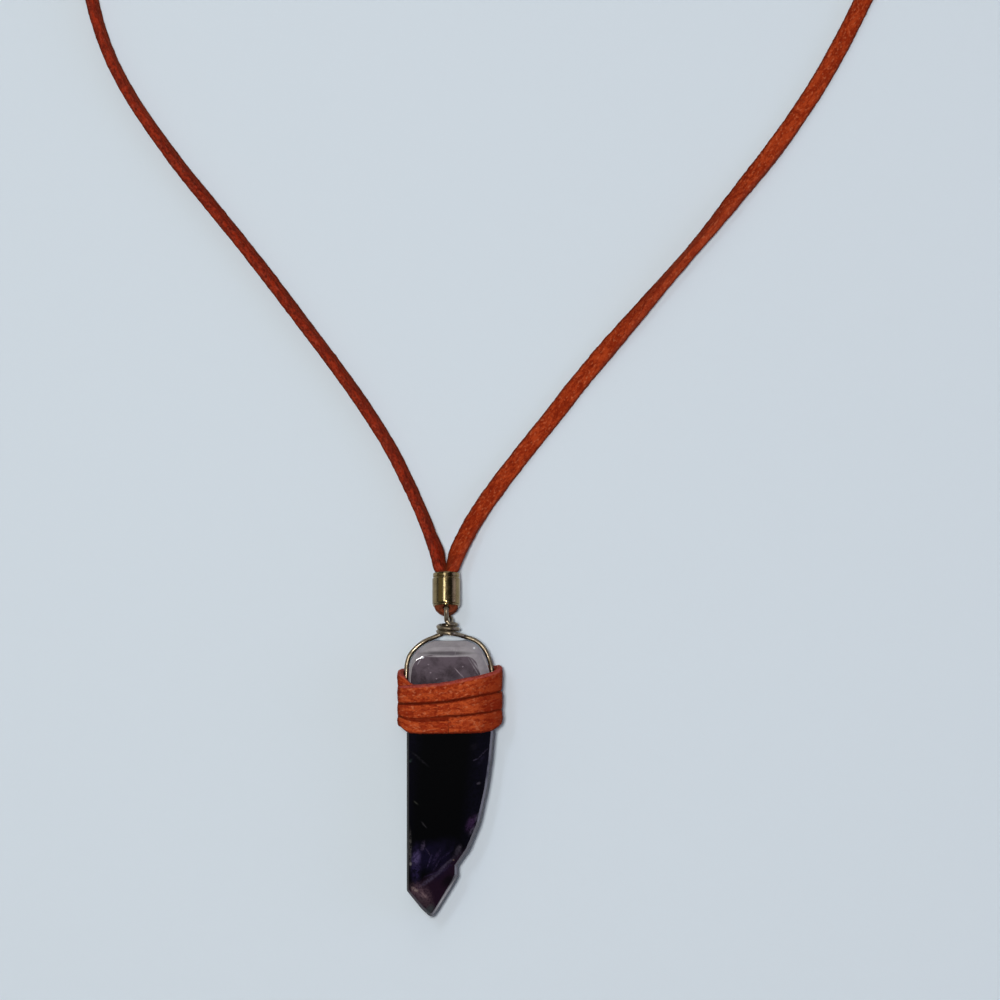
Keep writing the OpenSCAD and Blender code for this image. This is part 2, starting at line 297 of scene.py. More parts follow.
def spun(profile: Sequence[tuple[float, float]], steps: int) -> bmesh.types.BMesh:
    """Spins a closed profile round the Z axis.

    Args:
        profile: Points as radius and height, in millimetres, in order round the profile.
        steps: Steps of the full turn.

    Returns:
        A closed mesh in metres.
    """
    mesh = bmesh.new()
    verts = [mesh.verts.new((r * MM, 0, z * MM)) for r, z in profile]
    edges = [mesh.edges.new((a, b)) for a, b in zip(verts, verts[1:] + verts[:1])]
    bmesh.ops.spin(mesh, geom=verts + edges, cent=(0, 0, 0), axis=(0, 0, 1), angle=math.tau, steps=steps,
                   use_merge=True, use_duplicate=False)
    bmesh.ops.remove_doubles(mesh, verts=mesh.verts, dist=1e-7)
    bmesh.ops.recalc_face_normals(mesh, faces=mesh.faces)
    return mesh


def rounded_edges(mesh: bmesh.types.BMesh, least: float, width: float, segments: int) -> None:
    """Rounds the edges at which a mesh bends sharply.

    Args:
        mesh: The mesh to change.
        least: Smallest bend that counts as sharp, in degrees.
        width: Width of the rounding, in metres.
        segments: Steps of the rounding.
    """
    sharp = [e for e in mesh.edges if len(e.link_faces) == 2 and e.calc_face_angle() > math.radians(least)]
    bmesh.ops.bevel(mesh, geom=sharp, offset=width, affect="EDGES", segments=segments, profile=0.5,
                    material=-1, clamp_overlap=True)


def napped(mesh: bmesh.types.BMesh, fine: float = 0.03, broad: float = 0.045) -> None:
    """Roughens a suede surface along its normals.

    Args:
        mesh: The mesh to change.
        fine: Depth of the fibre grain, in millimetres.
        broad: Depth of the soft unevenness, in millimetres.
    """
    mesh.normal_update()
    moves = []
    for vert in mesh.verts:
        grain = waves(vert.co, 3600) + 0.6 * waves(vert.co, 7100)
        moves.append(vert.normal * ((fine * grain + broad * waves(vert.co, 780)) * MM))
    for vert, move in zip(mesh.verts, moves):
        vert.co += move


def finished(name: str, mesh: bmesh.types.BMesh, material: bpy.types.Material,
             stands_for: Iterable[str], sharp: float = 40) -> bpy.types.Object:
    """Turns a mesh into a piece that rides on the necklace.

    Args:
        name: Name of the piece.
        mesh: Its mesh, in its place.
        material: Its material.
        stands_for: The solids that it replaces.
        sharp: Bend beyond which an edge is shaded as a sharp one, in degrees.

    Returns:
        The piece.
    """
    data = bpy.data.meshes.new(name)
    for face in mesh.faces:
        face.smooth = True
    for edge in mesh.edges:
        edge.smooth = not (len(edge.link_faces) == 2 and edge.calc_face_angle() > math.radians(sharp))
    mesh.to_mesh(data)
    mesh.free()
    data.materials.append(material)
    piece = collected(name, data)
    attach(piece, BODY)
    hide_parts(*stands_for)
    log.info("%s: %d faces", name, len(data.polygons))
    return piece


# Finishes


class Shader:
    """Builds the node tree of one material."""

    def __init__(self, name: str) -> None:
        """Starts a material with one Principled shader.

        Args:
            name: Name of the material.
        """
        self.material = bpy.data.materials.new(name)
        self.material.use_nodes = True
        self.tree = self.material.node_tree
        self.tree.nodes.clear()
        self.shell = self.node("ShaderNodeBsdfPrincipled")
        out = self.tree.nodes.new("ShaderNodeOutputMaterial")
        self.tree.links.new(self.shell.outputs[0], out.inputs[0])

    def node(self, kind: str, sockets: dict[Any, Any] | None = None, **settings: Any) -> bpy.types.Node:
        """Adds a node.

        Args:
            kind: Blender's name of the node.
            sockets: Input values or the sockets linked to them, by input name or number.
            settings: Properties of the node.

        Returns:
            The node.
        """
        node = self.tree.nodes.new(kind)
        for name, value in settings.items():
            setattr(node, name, value)
        self.fill(node, sockets or {})
        return node

    def fill(self, node: bpy.types.Node, sockets: dict[Any, Any]) -> None:
        """Sets or links the inputs of a node.

        Args:
            node: The node.
            sockets: Values or sockets, by input name or number.
        """
        for name, value in sockets.items():
            if isinstance(value, bpy.types.NodeSocket):
                self.tree.links.new(value, node.inputs[name])
            else:
                node.inputs[name].default_value = value

    def surface(self, **sockets: Any) -> None:
        """Sets or links the Principled shader's inputs, whose names are written with underscores."""
        self.fill(self.shell, {name.replace("_", " "): value for name, value in sockets.items()})

    def place(self) -> bpy.types.NodeSocket:
        """Object coordinates in millimetres."""
        where = self.node("ShaderNodeTexCoord").outputs["Object"]
        return self.node("ShaderNodeVectorMath", {0: where, "Scale": 1 / MM}, operation="SCALE").outputs[0]

    def attribute(self, name: str, output: str = "Fac") -> bpy.types.NodeSocket:
        """One of the piece's own attributes, as a value or a vector."""
        return self.node("ShaderNodeAttribute", attribute_name=name, attribute_type="GEOMETRY").outputs[output]

    def stretched(self, where: Any, centre: Sequence[float], size: Sequence[float],
                  turn: float = 0) -> bpy.types.NodeSocket:
        """Coordinates counted from a centre in units of a size.

        Args:
            where: Coordinates to start from.
            centre: The new origin.
            size: Length of one unit along each turned axis.
            turn: Turn about Z in degrees.

        Returns:
            The coordinates.
        """
        return self.node("ShaderNodeMapping", {"Vector": where, "Location": tuple(centre), "Scale": tuple(size),
                                               "Rotation": (0, 0, math.radians(turn))},
                         vector_type="TEXTURE").outputs[0]

    def clouds(self, where: Any, scale: float, detail: float = 2, roughness: float = 0.5,
               distortion: float = 0) -> bpy.types.NodeSocket:
        """Soft noise.

        Args:
            where: Coordinates.
            scale: Patches in a unit of the coordinates.
            detail: Octaves of finer noise.
            roughness: Strength of the finer noise.
            distortion: Curl of the patches.

        Returns:
            A value about 0.5.
        """
        return self.node("ShaderNodeTexNoise", {"Vector": where, "Scale": scale, "Detail": detail,
                                                "Roughness": roughness, "Distortion": distortion}).outputs[0]

    def spread(self, value: Any, low: float, high: float, start: float = 0, end: float = 1,
               soft: bool = True) -> bpy.types.NodeSocket:
        """Maps a value from low and high onto start and end, and holds it there beyond them.

        Args:
            value: The value to map.
            low, high: Values that become start and end.
            start, end: Results at low and high.
            soft: Whether the change has a soft start and end.

        Returns:
            The mapped value.
        """
        return self.node("ShaderNodeMapRange", {0: value, 1: low, 2: high, 3: start, 4: end},
                         interpolation_type="SMOOTHSTEP" if soft else "LINEAR", clamp=True).outputs[0]

    def calc(self, operation: str, first: Any, second: Any = 0.0) -> bpy.types.NodeSocket:
        """Joins two values by an operation of Blender's Math node."""
        return self.node("ShaderNodeMath", {0: first, 1: second}, operation=operation).outputs[0]

    def mixed(self, share: Any, first: Any, second: Any) -> bpy.types.NodeSocket:
        """Mixes two colours, with the share of the second."""
        return self.node("ShaderNodeMix", {0: share, 6: first, 7: second}, data_type="RGBA").outputs[2]

    def bumped(self, height: Any, depth: float, strength: float = 1) -> None:
        """Gives the surface a bump.

        Args:
            height: Height as a value of about 0 to 1.
            depth: Depth that 1 stands for, in metres.
            strength: Share of the bump that shows.
        """
        bump = self.node("ShaderNodeBump", {"Height": height, "Distance": depth, "Strength": strength})
        self.surface(Normal=bump.outputs[0])


@dataclass(frozen=True)
class Suede:
    """Brushed split suede, with a soft nap along the lace, worn cut edges, painted shade on its steep flanks and
    painted shade along its outline seen from above.
    """

    name: str
    lit: Colour
    shade: Colour
    deep: Colour
    fleck: Colour
    rim: Colour
    flank_shade: Colour
    outline_shade: Colour = tone(50, 23, 12)
    sheen: Colour = tone(230, 120, 70)
    rim_share: float = 0.3
    flank_shade_share: float = 0.75
    fleck_share: float = 0.4
    outline_shade_share: float = 0.85
    deep_share: float = 0.7
    nap_depth: float = 0.16 * MM

    def material(self) -> bpy.types.Material:
        """Makes the suede's material.

        Returns:
            The material.
        """
        s = Shader(self.name)
        where, lie = s.place(), s.attribute("lie", "Vector")
        patches = s.clouds(s.stretched(lie, (0, 0, 0), (2.6, 1.3, 1.3)), 1, 2, 0.5)
        streaks = s.clouds(s.stretched(lie, (7, 0, 0), (1.0, 0.42, 0.42)), 1, 2, 0.6)
        grain = s.clouds(where, 2.8, 2, 0.6)
        mottle = s.calc("ADD", s.calc("MULTIPLY", patches, 0.35), s.calc("MULTIPLY", streaks, 0.4))
        mottle = s.calc("ADD", mottle, s.calc("MULTIPLY", grain, 0.25))
        colour = s.mixed(s.spread(mottle, 0.42, 0.58), self.shade, self.lit)
        scuffed = s.clouds(s.stretched(lie, (2, 3, 1), (0.8, 0.5, 0.5)), 1, 2, 0.6)
        colour = s.mixed(s.spread(scuffed, 0.46, 0.7, 0, self.deep_share), colour, self.deep)
        fibres = s.clouds(s.stretched(lie, (5, 1, 4), (0.6, 0.4, 0.4)), 1, 1, 0.5)
        colour = s.mixed(s.spread(fibres, 0.55, 0.75, 0, self.fleck_share), colour, self.fleck)
        # Painted shade on the steep flanks, which face away from the light above
        colour = s.mixed(s.calc("MULTIPLY", s.attribute("flank_shade"), self.flank_shade_share), colour, self.flank_shade)
        # Painted shade along the lace's outline seen from above
        outline_shade_mask = s.calc("MULTIPLY", s.attribute("outline_shade"), s.spread(grain, 0.35, 0.6, 0.5, 1))
        colour = s.mixed(s.calc("MULTIPLY", outline_shade_mask, self.outline_shade_share), colour, self.outline_shade)
        worn = s.calc("MULTIPLY", s.attribute("rim"), s.spread(grain, 0.35, 0.6, 0.4, 1))
        colour = s.mixed(s.calc("MULTIPLY", worn, self.rim_share), colour, self.rim)
        s.surface(Base_Color=colour, Roughness=0.95, Specular_IOR_Level=0.06, Sheen_Weight=0.2,
                  Sheen_Roughness=0.4, Sheen_Tint=self.sheen)
        s.bumped(s.calc("ADD", fibres, s.calc("MULTIPLY", streaks, 0.8)), self.nap_depth, 0.7)
        return s.material


@dataclass(frozen=True)
class Brass:
    """Brass with fine turning marks and tarnish."""

    name: str
    bright: Colour
    tarnish: Colour
    roughness: float
    tarnish_share: float
    marks: tuple[float, float, float] = (6.0, 0.1, 6.0)
    mark_depth: float = 0.01 * MM

    def material(self) -> bpy.types.Material:
        """Makes the brass's material.

        Returns:
            The material.
        """
        s = Shader(self.name)
        where = s.place()
        stains = s.spread(s.clouds(where, 0.8, 4, 0.6), 0.42, 0.68, 0, self.tarnish_share)
        lines = s.clouds(s.stretched(where, (0, 0, 0), self.marks), 1, 3, 0.6)
        specks = s.spread(s.clouds(where, 7, 2, 0.5), 0.64, 0.74, 0, self.tarnish_share)
        colour = s.mixed(stains, self.bright, self.tarnish)
        colour = s.mixed(specks, colour, self.tarnish)
        rough = s.spread(s.calc("ADD", lines, stains), 0.3, 1.1, self.roughness * 0.75, self.roughness * 1.6)
        s.surface(Base_Color=colour, Metallic=1.0, Roughness=rough)
        s.bumped(lines, self.mark_depth, 0.6)
        return s.material


@dataclass(frozen=True)
class InclusionOrPaintedLight:
    """Cloud, veil, streak or fleck inside the crystal, or a painted glint, highlight or reflection on it, seen from
    the front, in millimetres.
    """

    x: float
    y: float
    long: float
    wide: float
    turn: float
    colour: Colour
    share: float = 0.8
    grain: float = 1.4
    broken: float = 0.5


# What shows inside the crystal, and the painted glints, highlights and reflections on it, each laid over the ones
# before
INCLUSIONS_AND_PAINTED_LIGHT = (
    # Clouds and veils at the tip
    InclusionOrPaintedLight(-4.0, -18.6, 3.8, 3.2, 20, tone(20, 15, 40), 0.85, 1.1, 0.5),
    InclusionOrPaintedLight(-1.2, -17.4, 3.6, 2.4, 20, tone(17, 13, 32), 0.8, 1.2, 0.6),
    InclusionOrPaintedLight(-5.67, -20.08, 4.6, 1.25, 90, tone(38, 30, 62), 0.85, 2.3, 0.75),
    InclusionOrPaintedLight(-5.63, -18.92, 1.7, 0.95, 75, tone(78, 67, 104), 0.85, 2.5, 0.75),
    InclusionOrPaintedLight(-4.5, -16.92, 1.2, 0.5, 78, tone(70, 60, 80), 0.75, 3.0, 0.85),
    InclusionOrPaintedLight(-3.67, -17.92, 1.14, 0.17, -58, tone(58, 50, 70), 0.7, 3.0, 0.65),
    InclusionOrPaintedLight(-1.58, -20.42, 3.6, 2.3, 50, tone(18, 12, 35), 0.85, 2.1, 0.65),
    InclusionOrPaintedLight(-2.25, -18.75, 2.2, 0.5, 60, tone(44, 34, 60), 0.7, 3.2, 0.95),
    InclusionOrPaintedLight(-0.92, -20.75, 2.4, 0.5, 35, tone(44, 34, 60), 0.7, 3.2, 0.95),
    InclusionOrPaintedLight(-4.92, -24.75, 2.9, 1.9, -40, tone(86, 66, 74), 0.85, 2.7, 0.8),
    InclusionOrPaintedLight(-5.67, -24.25, 0.65, 0.29, -22, tone(130, 115, 112), 0.7, 3.6, 0.65),
    InclusionOrPaintedLight(-3.75, -26.42, 1.6, 1.2, -40, tone(70, 54, 60), 0.7, 3.2, 0.95),
    InclusionOrPaintedLight(-3.42, -27.58, 1.5, 0.9, 50, tone(60, 66, 68), 0.7, 1.0, 0.2),
    InclusionOrPaintedLight(-0.42, -22.75, 1.9, 1.2, 45, tone(9, 7, 11), 0.85, 0.6, 0.2),
    InclusionOrPaintedLight(-3.5, -22.58, 2.85, 0.53, 36, tone(66, 58, 76), 0.85, 2.8, 0.75),
    InclusionOrPaintedLight(-1.25, -20.67, 2.14, 0.45, 47, tone(66, 58, 76), 0.85, 2.8, 0.75),
    InclusionOrPaintedLight(0.0, -19.42, 1.11, 0.4, 41, tone(62, 56, 70), 0.8, 2.8, 0.65),
    InclusionOrPaintedLight(1.38, -17.5, 1.22, 0.6, 63, tone(66, 60, 70), 0.8, 3.0, 0.75),
    InclusionOrPaintedLight(0.58, -19.25, 0.22, 0.2, 0, tone(96, 80, 74), 0.9, 1.0, 0.0),
    # Marks along the body
    InclusionOrPaintedLight(3.5, -13.08, 2.2, 1.0, 64, tone(56, 36, 66), 0.85, 2.5, 0.75),
    InclusionOrPaintedLight(4.67, -12.0, 1.24, 0.43, 61, tone(80, 75, 90), 0.75, 3.0, 0.65),
    InclusionOrPaintedLight(-5.08, -2.42, 2.57, 0.27, -41, tone(36, 34, 39), 0.8, 3.0, 0.95),
    InclusionOrPaintedLight(-6.58, -2.75, 0.5, 0.3, 60, tone(45, 58, 55), 0.8, 3.6, 0.65),
    InclusionOrPaintedLight(4.17, -2.58, 0.65, 0.16, 22, tone(52, 46, 62), 0.8, 2.0, 0.2),
    InclusionOrPaintedLight(5.5, -1.5, 1.88, 0.16, 45, tone(52, 46, 62), 0.8, 3.6, 0.65),
    InclusionOrPaintedLight(4.75, -6.5, 0.5, 0.28, 20, tone(60, 55, 65), 0.85, 1.0, 0.0),
    InclusionOrPaintedLight(-5.67, -9.75, 0.77, 0.19, -39, tone(52, 52, 46), 0.8, 3.0, 0.65),
    InclusionOrPaintedLight(-4.33, -13.42, 0.94, 0.19, -50, tone(50, 48, 50), 0.8, 3.0, 0.65),
    # Chips of the left edge, and a painted highlight along the tip's lower right edge
    InclusionOrPaintedLight(-6.67, -17.33, 4.23, 0.4, -90, tone(76, 73, 71), 0.7, 3.2, 0.85),
    InclusionOrPaintedLight(-6.58, -19.92, 0.4, 0.3, 90, tone(112, 107, 107), 0.8, 1.0, 0.0),
    # Painted highlight along the tip's lower right edge
    InclusionOrPaintedLight(-1.0, -25.33, 4.73, 0.24, -122, tone(176, 174, 178), 0.9, 1.5, 0.2),
    # Painted reflection bands, painted highlight lines, painted glints, scratches and dust at the root
    # Painted reflection of dark surroundings at the foot of the top bevel
    InclusionOrPaintedLight(-0.6, 15.13, 6.0, 0.5, 0, tone(62, 55, 60), 0.9, 0.6, 0.15),
    InclusionOrPaintedLight(0.25, 15.1, 1.7, 0.5, 0, tone(84, 75, 83), 0.7, 0.6, 0.1),
    # Painted highlight along the face's rounded top edge, bending down at the left
    InclusionOrPaintedLight(-1.4, 14.58, 4.4, 0.14, 0, tone(166, 160, 163), 0.8, 1.2, 0.3),
    InclusionOrPaintedLight(-5.15, 13.7, 0.8, 0.14, 58, tone(168, 160, 167), 0.8, 1.2, 0.2),
    # Painted glint at the face's top left corner
    InclusionOrPaintedLight(-4.6, 14.42, 0.42, 0.24, 8, tone(238, 238, 242), 1.0, 1.0, 0.0),
    InclusionOrPaintedLight(-5.3, 15.5, 1.3, 0.25, 56, tone(162, 136, 142), 0.7, 1.4, 0.2),
    InclusionOrPaintedLight(4.5, 12.8, 2.9, 0.2, -55, tone(158, 152, 157), 0.75, 1.6, 0.5),
    InclusionOrPaintedLight(3.9, 12.9, 2.4, 0.14, -58, tone(146, 139, 145), 0.7, 1.6, 0.5),
    InclusionOrPaintedLight(5.9, 13.7, 2.2, 0.14, -66, tone(188, 181, 172), 0.8, 1.6, 0.3),
    # Painted glint on the top bevel
    InclusionOrPaintedLight(4.0, 16.0, 0.26, 0.24, 0, tone(236, 236, 238), 1.0, 1.0, 0.0),
    InclusionOrPaintedLight(1.4, 11.95, 1.3, 0.11, -48, tone(178, 164, 172), 0.85, 3.0, 0.2),
    InclusionOrPaintedLight(2.1, 11.3, 0.9, 0.08, -60, tone(150, 136, 148), 0.7, 3.0, 0.3),
    InclusionOrPaintedLight(0.85, 15.2, 0.9, 0.08, 90, tone(124, 116, 122), 0.7, 1.0, 0.0),
    InclusionOrPaintedLight(-2.25, 10.9, 0.2, 0.16, 0, tone(156, 140, 150), 0.8, 1.0, 0.0),
    InclusionOrPaintedLight(-3.25, 11.9, 0.2, 0.16, 0, tone(150, 136, 146), 0.8, 1.0, 0.0),
    InclusionOrPaintedLight(2.1, 12.9, 0.2, 0.16, 0, tone(150, 136, 146), 0.8, 1.0, 0.0),
    InclusionOrPaintedLight(-3.6, 13.25, 0.2, 0.16, 0, tone(150, 136, 146), 0.8, 1.0, 0.0),
    InclusionOrPaintedLight(0.9, 11.4, 1.2, 0.8, 20, tone(50, 42, 48), 0.7, 1.2, 0.3),
    # Finer streaks and patches at the tip
    InclusionOrPaintedLight(-3.4, -19.4, 1.6, 0.22, 70, tone(62, 52, 84), 0.7, 3.2, 0.8),
    InclusionOrPaintedLight(-2.2, -20.0, 1.8, 0.2, 60, tone(50, 40, 66), 0.7, 3.2, 0.8),
    InclusionOrPaintedLight(-3.0, -21.6, 2.0, 0.2, 20, tone(48, 38, 64), 0.7, 3.2, 0.8),
    InclusionOrPaintedLight(-0.6, -18.4, 1.8, 0.25, 40, tone(40, 32, 58), 0.7, 3.0, 0.8),
    InclusionOrPaintedLight(-4.9, -25.9, 1.6, 0.9, -45, tone(60, 48, 54), 0.8, 2.4, 0.8),
    InclusionOrPaintedLight(-5.9, -24.2, 1.0, 0.5, -35, tone(134, 114, 112), 0.75, 2.6, 0.8),
    InclusionOrPaintedLight(-4.4, -25.2, 1.1, 0.5, -40, tone(126, 104, 108), 0.7, 2.6, 0.8),
    InclusionOrPaintedLight(3.6, -14.4, 1.3, 0.35, 60, tone(78, 70, 88), 0.75, 2.6, 0.7),
    InclusionOrPaintedLight(1.2, -18.3, 1.4, 0.8, 50, tone(46, 40, 52), 0.75, 2.2, 0.7),
    # Faint veils on the right of the body
    InclusionOrPaintedLight(6.0, -4.0, 3.4, 1.0, 84, tone(14, 11, 26), 0.8, 1.2, 0.5),
    InclusionOrPaintedLight(4.0, -0.4, 1.0, 0.7, 30, tone(26, 22, 30), 0.7, 2.4, 0.8),
    InclusionOrPaintedLight(5.2, -2.6, 1.6, 0.5, 60, tone(28, 24, 42), 0.7, 2.4, 0.8),
)


@dataclass(frozen=True)
class Amethyst:
    """Polished amethyst: milky and grey at its root, nearly black in the body, with veils at the tip, painted light
    on its bevels and painted glints, highlights and reflections.
    """

    name: str = "polished_amethyst"
    milk: Colour = tone(100, 88, 96)
    smoke: Colour = tone(60, 51, 56)
    night: Colour = tone(3, 3, 4)
    violet: Colour = tone(11, 9, 22)
    plum: Colour = tone(30, 15, 29)
    root_bevel_light_and_dust: Colour = tone(160, 154, 157)
    body_bevel_light: Colour = tone(104, 103, 110)
    cloudy_bevel_light: Colour = tone(144, 137, 141)
    inclusions_and_painted_light: tuple[InclusionOrPaintedLight, ...] = INCLUSIONS_AND_PAINTED_LIGHT

    def material(self) -> bpy.types.Material:
        """Makes the crystal's material.

        Returns:
            The material.
        """
        s = Shader(self.name)
        where = s.place()
        axes = s.node("ShaderNodeSeparateXYZ", {0: where})
        x, y = axes.outputs[0], axes.outputs[1]
        haze = s.clouds(where, 0.45, 4, 0.6, 0.4)
        grain = s.clouds(where, 2.6, 4, 0.62)
        root = s.mixed(s.spread(s.calc("ADD", y, s.spread(haze, 0.3, 0.7, -2.5, 2.5)), 8.5, 15.5),
                       self.smoke, self.milk)
        root = s.mixed(s.spread(grain, 0.45, 0.75, 0, 0.35), root, self.milk)
        edge = s.spread(s.calc("ABSOLUTE", s.calc("SUBTRACT", x, s.spread(y, -24, 2, -3.2, -0.6, False))), 3.2, 6.2)
        body = s.mixed(s.calc("MULTIPLY", edge, s.spread(grain, 0.35, 0.65, 0.3, 1)), self.night, self.violet)
        body = s.mixed(s.spread(s.calc("ADD", y, s.calc("MULTIPLY", x, -0.7)), -18.6, -20.2), body, self.plum)
        rooted = s.spread(y, 3, 7)
        colour = s.mixed(rooted, body, root)
        dust = s.node("ShaderNodeTexVoronoi", {"Vector": where, "Scale": 1.5}, feature="F1").outputs["Distance"]
        dust = s.calc("MULTIPLY", s.spread(dust, 0.03, 0.1, 1, 0), s.spread(y, 9, 11, 0, 0.55))
        colour = s.mixed(dust, colour, self.root_bevel_light_and_dust)
        # Painted light on the bevels, which stands for the pale floor seen in them: palest at the root
        milky = s.mixed(s.spread(haze, 0.35, 0.65), self.cloudy_bevel_light, self.root_bevel_light_and_dust)
        cut = s.mixed(rooted, self.body_bevel_light, milky)
        colour = s.mixed(s.attribute("cut"), colour, cut)
        for mark in self.inclusions_and_painted_light:
            local = s.stretched(where, (mark.x, mark.y, 0), (mark.long, mark.wide, 1e4), mark.turn)
            far = s.node("ShaderNodeVectorMath", {0: local}, operation="LENGTH").outputs["Value"]
            cover = s.spread(far, 0.25, 1, mark.share, 0)
            ragged = s.spread(s.clouds(where, mark.grain, 3, 0.6, 0.5), 0.38, 0.62, 1 - mark.broken, 1)
            colour = s.mixed(s.calc("MULTIPLY", cover, ragged), colour, mark.colour)
        s.surface(Base_Color=colour, Roughness=0.045, IOR=1.54)
        s.bumped(s.clouds(where, 1.3, 2, 0.5), 0.01 * MM, 0.3)
        return s.material


LACE_SUEDE = Suede("lace_suede", tone(177, 65, 28), tone(142, 42, 14), tone(104, 22, 7), tone(214, 118, 76),
                   tone(150, 66, 46), tone(108, 22, 8), flank_shade_share=0.6, deep_share=0.55)
# A darker copy of the lace suede for the left lace, which lies rolled steeply on edge: painted shade
SHADED_LACE_SUEDE = Suede("shaded_lace_suede", tone(160, 43, 15), tone(108, 22, 8), tone(62, 8, 2), tone(176, 76, 56),
                     tone(150, 66, 46), tone(104, 25, 8), flank_shade_share=0.45, fleck_share=0.55, deep_share=0.85)
# A darker copy of the lace suede for the fold at the ferrule's mouth: painted shade
SHADED_FOLD_SUEDE = Suede("shaded_fold_suede", tone(128, 48, 13), tone(88, 31, 9), tone(70, 20, 6), tone(150, 92, 60),
                   tone(130, 80, 60), tone(64, 30, 16), flank_shade_share=0.8)
WRAP_SUEDE = Suede("wrap_suede", tone(190, 80, 38), tone(150, 48, 20), tone(120, 30, 10), tone(214, 124, 84),
                   tone(178, 84, 80), tone(100, 18, 5), rim_share=0.65, flank_shade_share=0.9, fleck_share=0.5)
FERRULE_BRASS = Brass("ferrule_brass", tone(147, 126, 89), tone(90, 72, 38), 0.2, 0.25)
WIRE_BRASS = Brass("wire_brass", tone(153, 138, 116), tone(76, 65, 50), 0.34, 0.6, (2.0, 2.0, 2.0))


# Sub-assemblies


@dataclass(frozen=True)
class Lamp:
    """Soft lamp that faces the middle of the picture."""

    name: str
    place: tuple[float, float, float]
    size: float
    power: float
    stretch: float = 1.0
    colour: tuple[float, float, float] = (1.0, 0.99, 0.97)

    def hang(self, target: Vector) -> None:
        """Adds the lamp to the scene.

        Args:
            target: Point that it faces.
        """
        light = bpy.data.lights.new(self.name, "AREA")
        light.shape = "RECTANGLE"
        light.size, light.size_y = self.size, self.size * self.stretch
        light.energy = self.power
        light.color = self.colour
        holder = collected(self.name, light)
        holder.location = self.place
        holder.rotation_euler = (target - holder.location).to_track_quat("-Z", "Y").to_euler()


@dataclass
class Stage:
    """Pale floor, soft light and the camera straight above."""

    centre: tuple[float, float] = (8.3 * MM, 40.6 * MM)
    seen_width: float = 166.7 * MM
    camera_height: float = 2.4
    floor_size: float = 6.0
    floor_drop: float = 0.02 * MM
    floor_colour: Colour = tone(226, 236, 244)
    lamps: tuple[Lamp, ...] = (
        Lamp("key", (-0.06, 0.05, 1.0), 0.1, 5.6),
        Lamp("streak", (-0.245, 0.31, 0.8), 0.18, 0.72, 0.8, (0.78, 0.88, 1.0)),
        Lamp("west_card", (-0.9, 0.2, 0.75), 0.8, 0.52, 1.0, (1.0, 0.95, 0.6)),
        Lamp("north_fill", (0.0, 1.1, 0.85), 0.9, 1.7),
        Lamp("south_fill", (0.0, -1.0, 0.8), 0.8, 1.3),
        Lamp("east_card", (1.1, 0.0, 0.42), 0.7, 1.6, 1.0, (0.64, 0.65, 1.0)),
    )
    zenith: Colour = (0.014, 0.016, 0.018, 1)
    horizon: Colour = (0.14, 0.15, 0.165, 1)
    horizon_band: tuple[float, float] = (0.25, 0.45)

    def lay_floor(self) -> bpy.types.Object:
        """Makes the floor, a plain pale sheet.

        Returns:
            The floor.
        """
        mesh = bmesh.new()
        bmesh.ops.create_grid(mesh, x_segments=1, y_segments=1, size=self.floor_size / 2)
        data = bpy.data.meshes.new("floor")
        mesh.to_mesh(data)
        mesh.free()
        shader = Shader("pale_floor")
        shader.surface(Base_Color=self.floor_colour, Roughness=0.95, Specular_IOR_Level=0.1)
        data.materials.append(shader.material)
        floor = collected("floor", data)
        floor.location.z = -self.floor_drop
        return floor

    def light(self) -> None:
        """Adds the lamps and a sky that is dark above and pale at the horizon."""
        for lamp in self.lamps:
            lamp.hang(Vector((*self.centre, 0)))
        world = bpy.data.worlds.new("room")
        world.use_nodes = True
        tree = world.node_tree
        tree.nodes.clear()
        where = tree.nodes.new("ShaderNodeTexCoord")
        split = tree.nodes.new("ShaderNodeSeparateXYZ")
        rise = tree.nodes.new("ShaderNodeMapRange")
        rise.inputs[1].default_value, rise.inputs[2].default_value = self.horizon_band
        mix = tree.nodes.new("ShaderNodeMix")
        mix.data_type = "RGBA"
        mix.inputs[6].default_value, mix.inputs[7].default_value = self.horizon, self.zenith
        glow = tree.nodes.new("ShaderNodeBackground")
        out = tree.nodes.new("ShaderNodeOutputWorld")
        for source, target in ((where.outputs["Generated"], split.inputs[0]), (split.outputs[2], rise.inputs[0]),
                               (rise.outputs[0], mix.inputs[0]), (mix.outputs[2], glow.inputs[0]),
                               (glow.outputs[0], out.inputs[0])):
            tree.links.new(source, target)
        bpy.context.scene.world = world

    def set_camera(self) -> None:
        """Hangs the camera over the middle of the picture."""
        lens = bpy.data.cameras.new("camera")
        lens.sensor_fit = "HORIZONTAL"
        lens.angle = 2 * math.atan(self.seen_width / 2 / self.camera_height)
        lens.clip_start = 0.01
        camera = collected("camera", lens)
        camera.location = (*self.centre, self.camera_height)
        bpy.context.scene.camera = camera

    def build(self) -> None:
        """Sets the whole stage."""
        self.lay_floor()
        self.light()
        self.set_camera()
        bpy.context.scene.view_settings.view_transform = "Standard"
        log.info("stage: floor, %d lamps, sky and camera", len(self.lamps))


def shade_flanks(mesh: bmesh.types.BMesh, least: float = 0.0) -> None:
    """Marks on a lace how steeply each point faces, for the painted shade on its flanks.

    Args:
        mesh: The lace in its place.
        least: Smallest mark, the least share of painted shade anywhere.
    """
    flank_shade = mesh.verts.layers.float.new("flank_shade")
    mesh.normal_update()
    for vert in mesh.verts:
        vert[flank_shade] = max(least, 1 - smooth_share(*FLANK_SHADE_SLOPES, abs(vert.normal.z)))


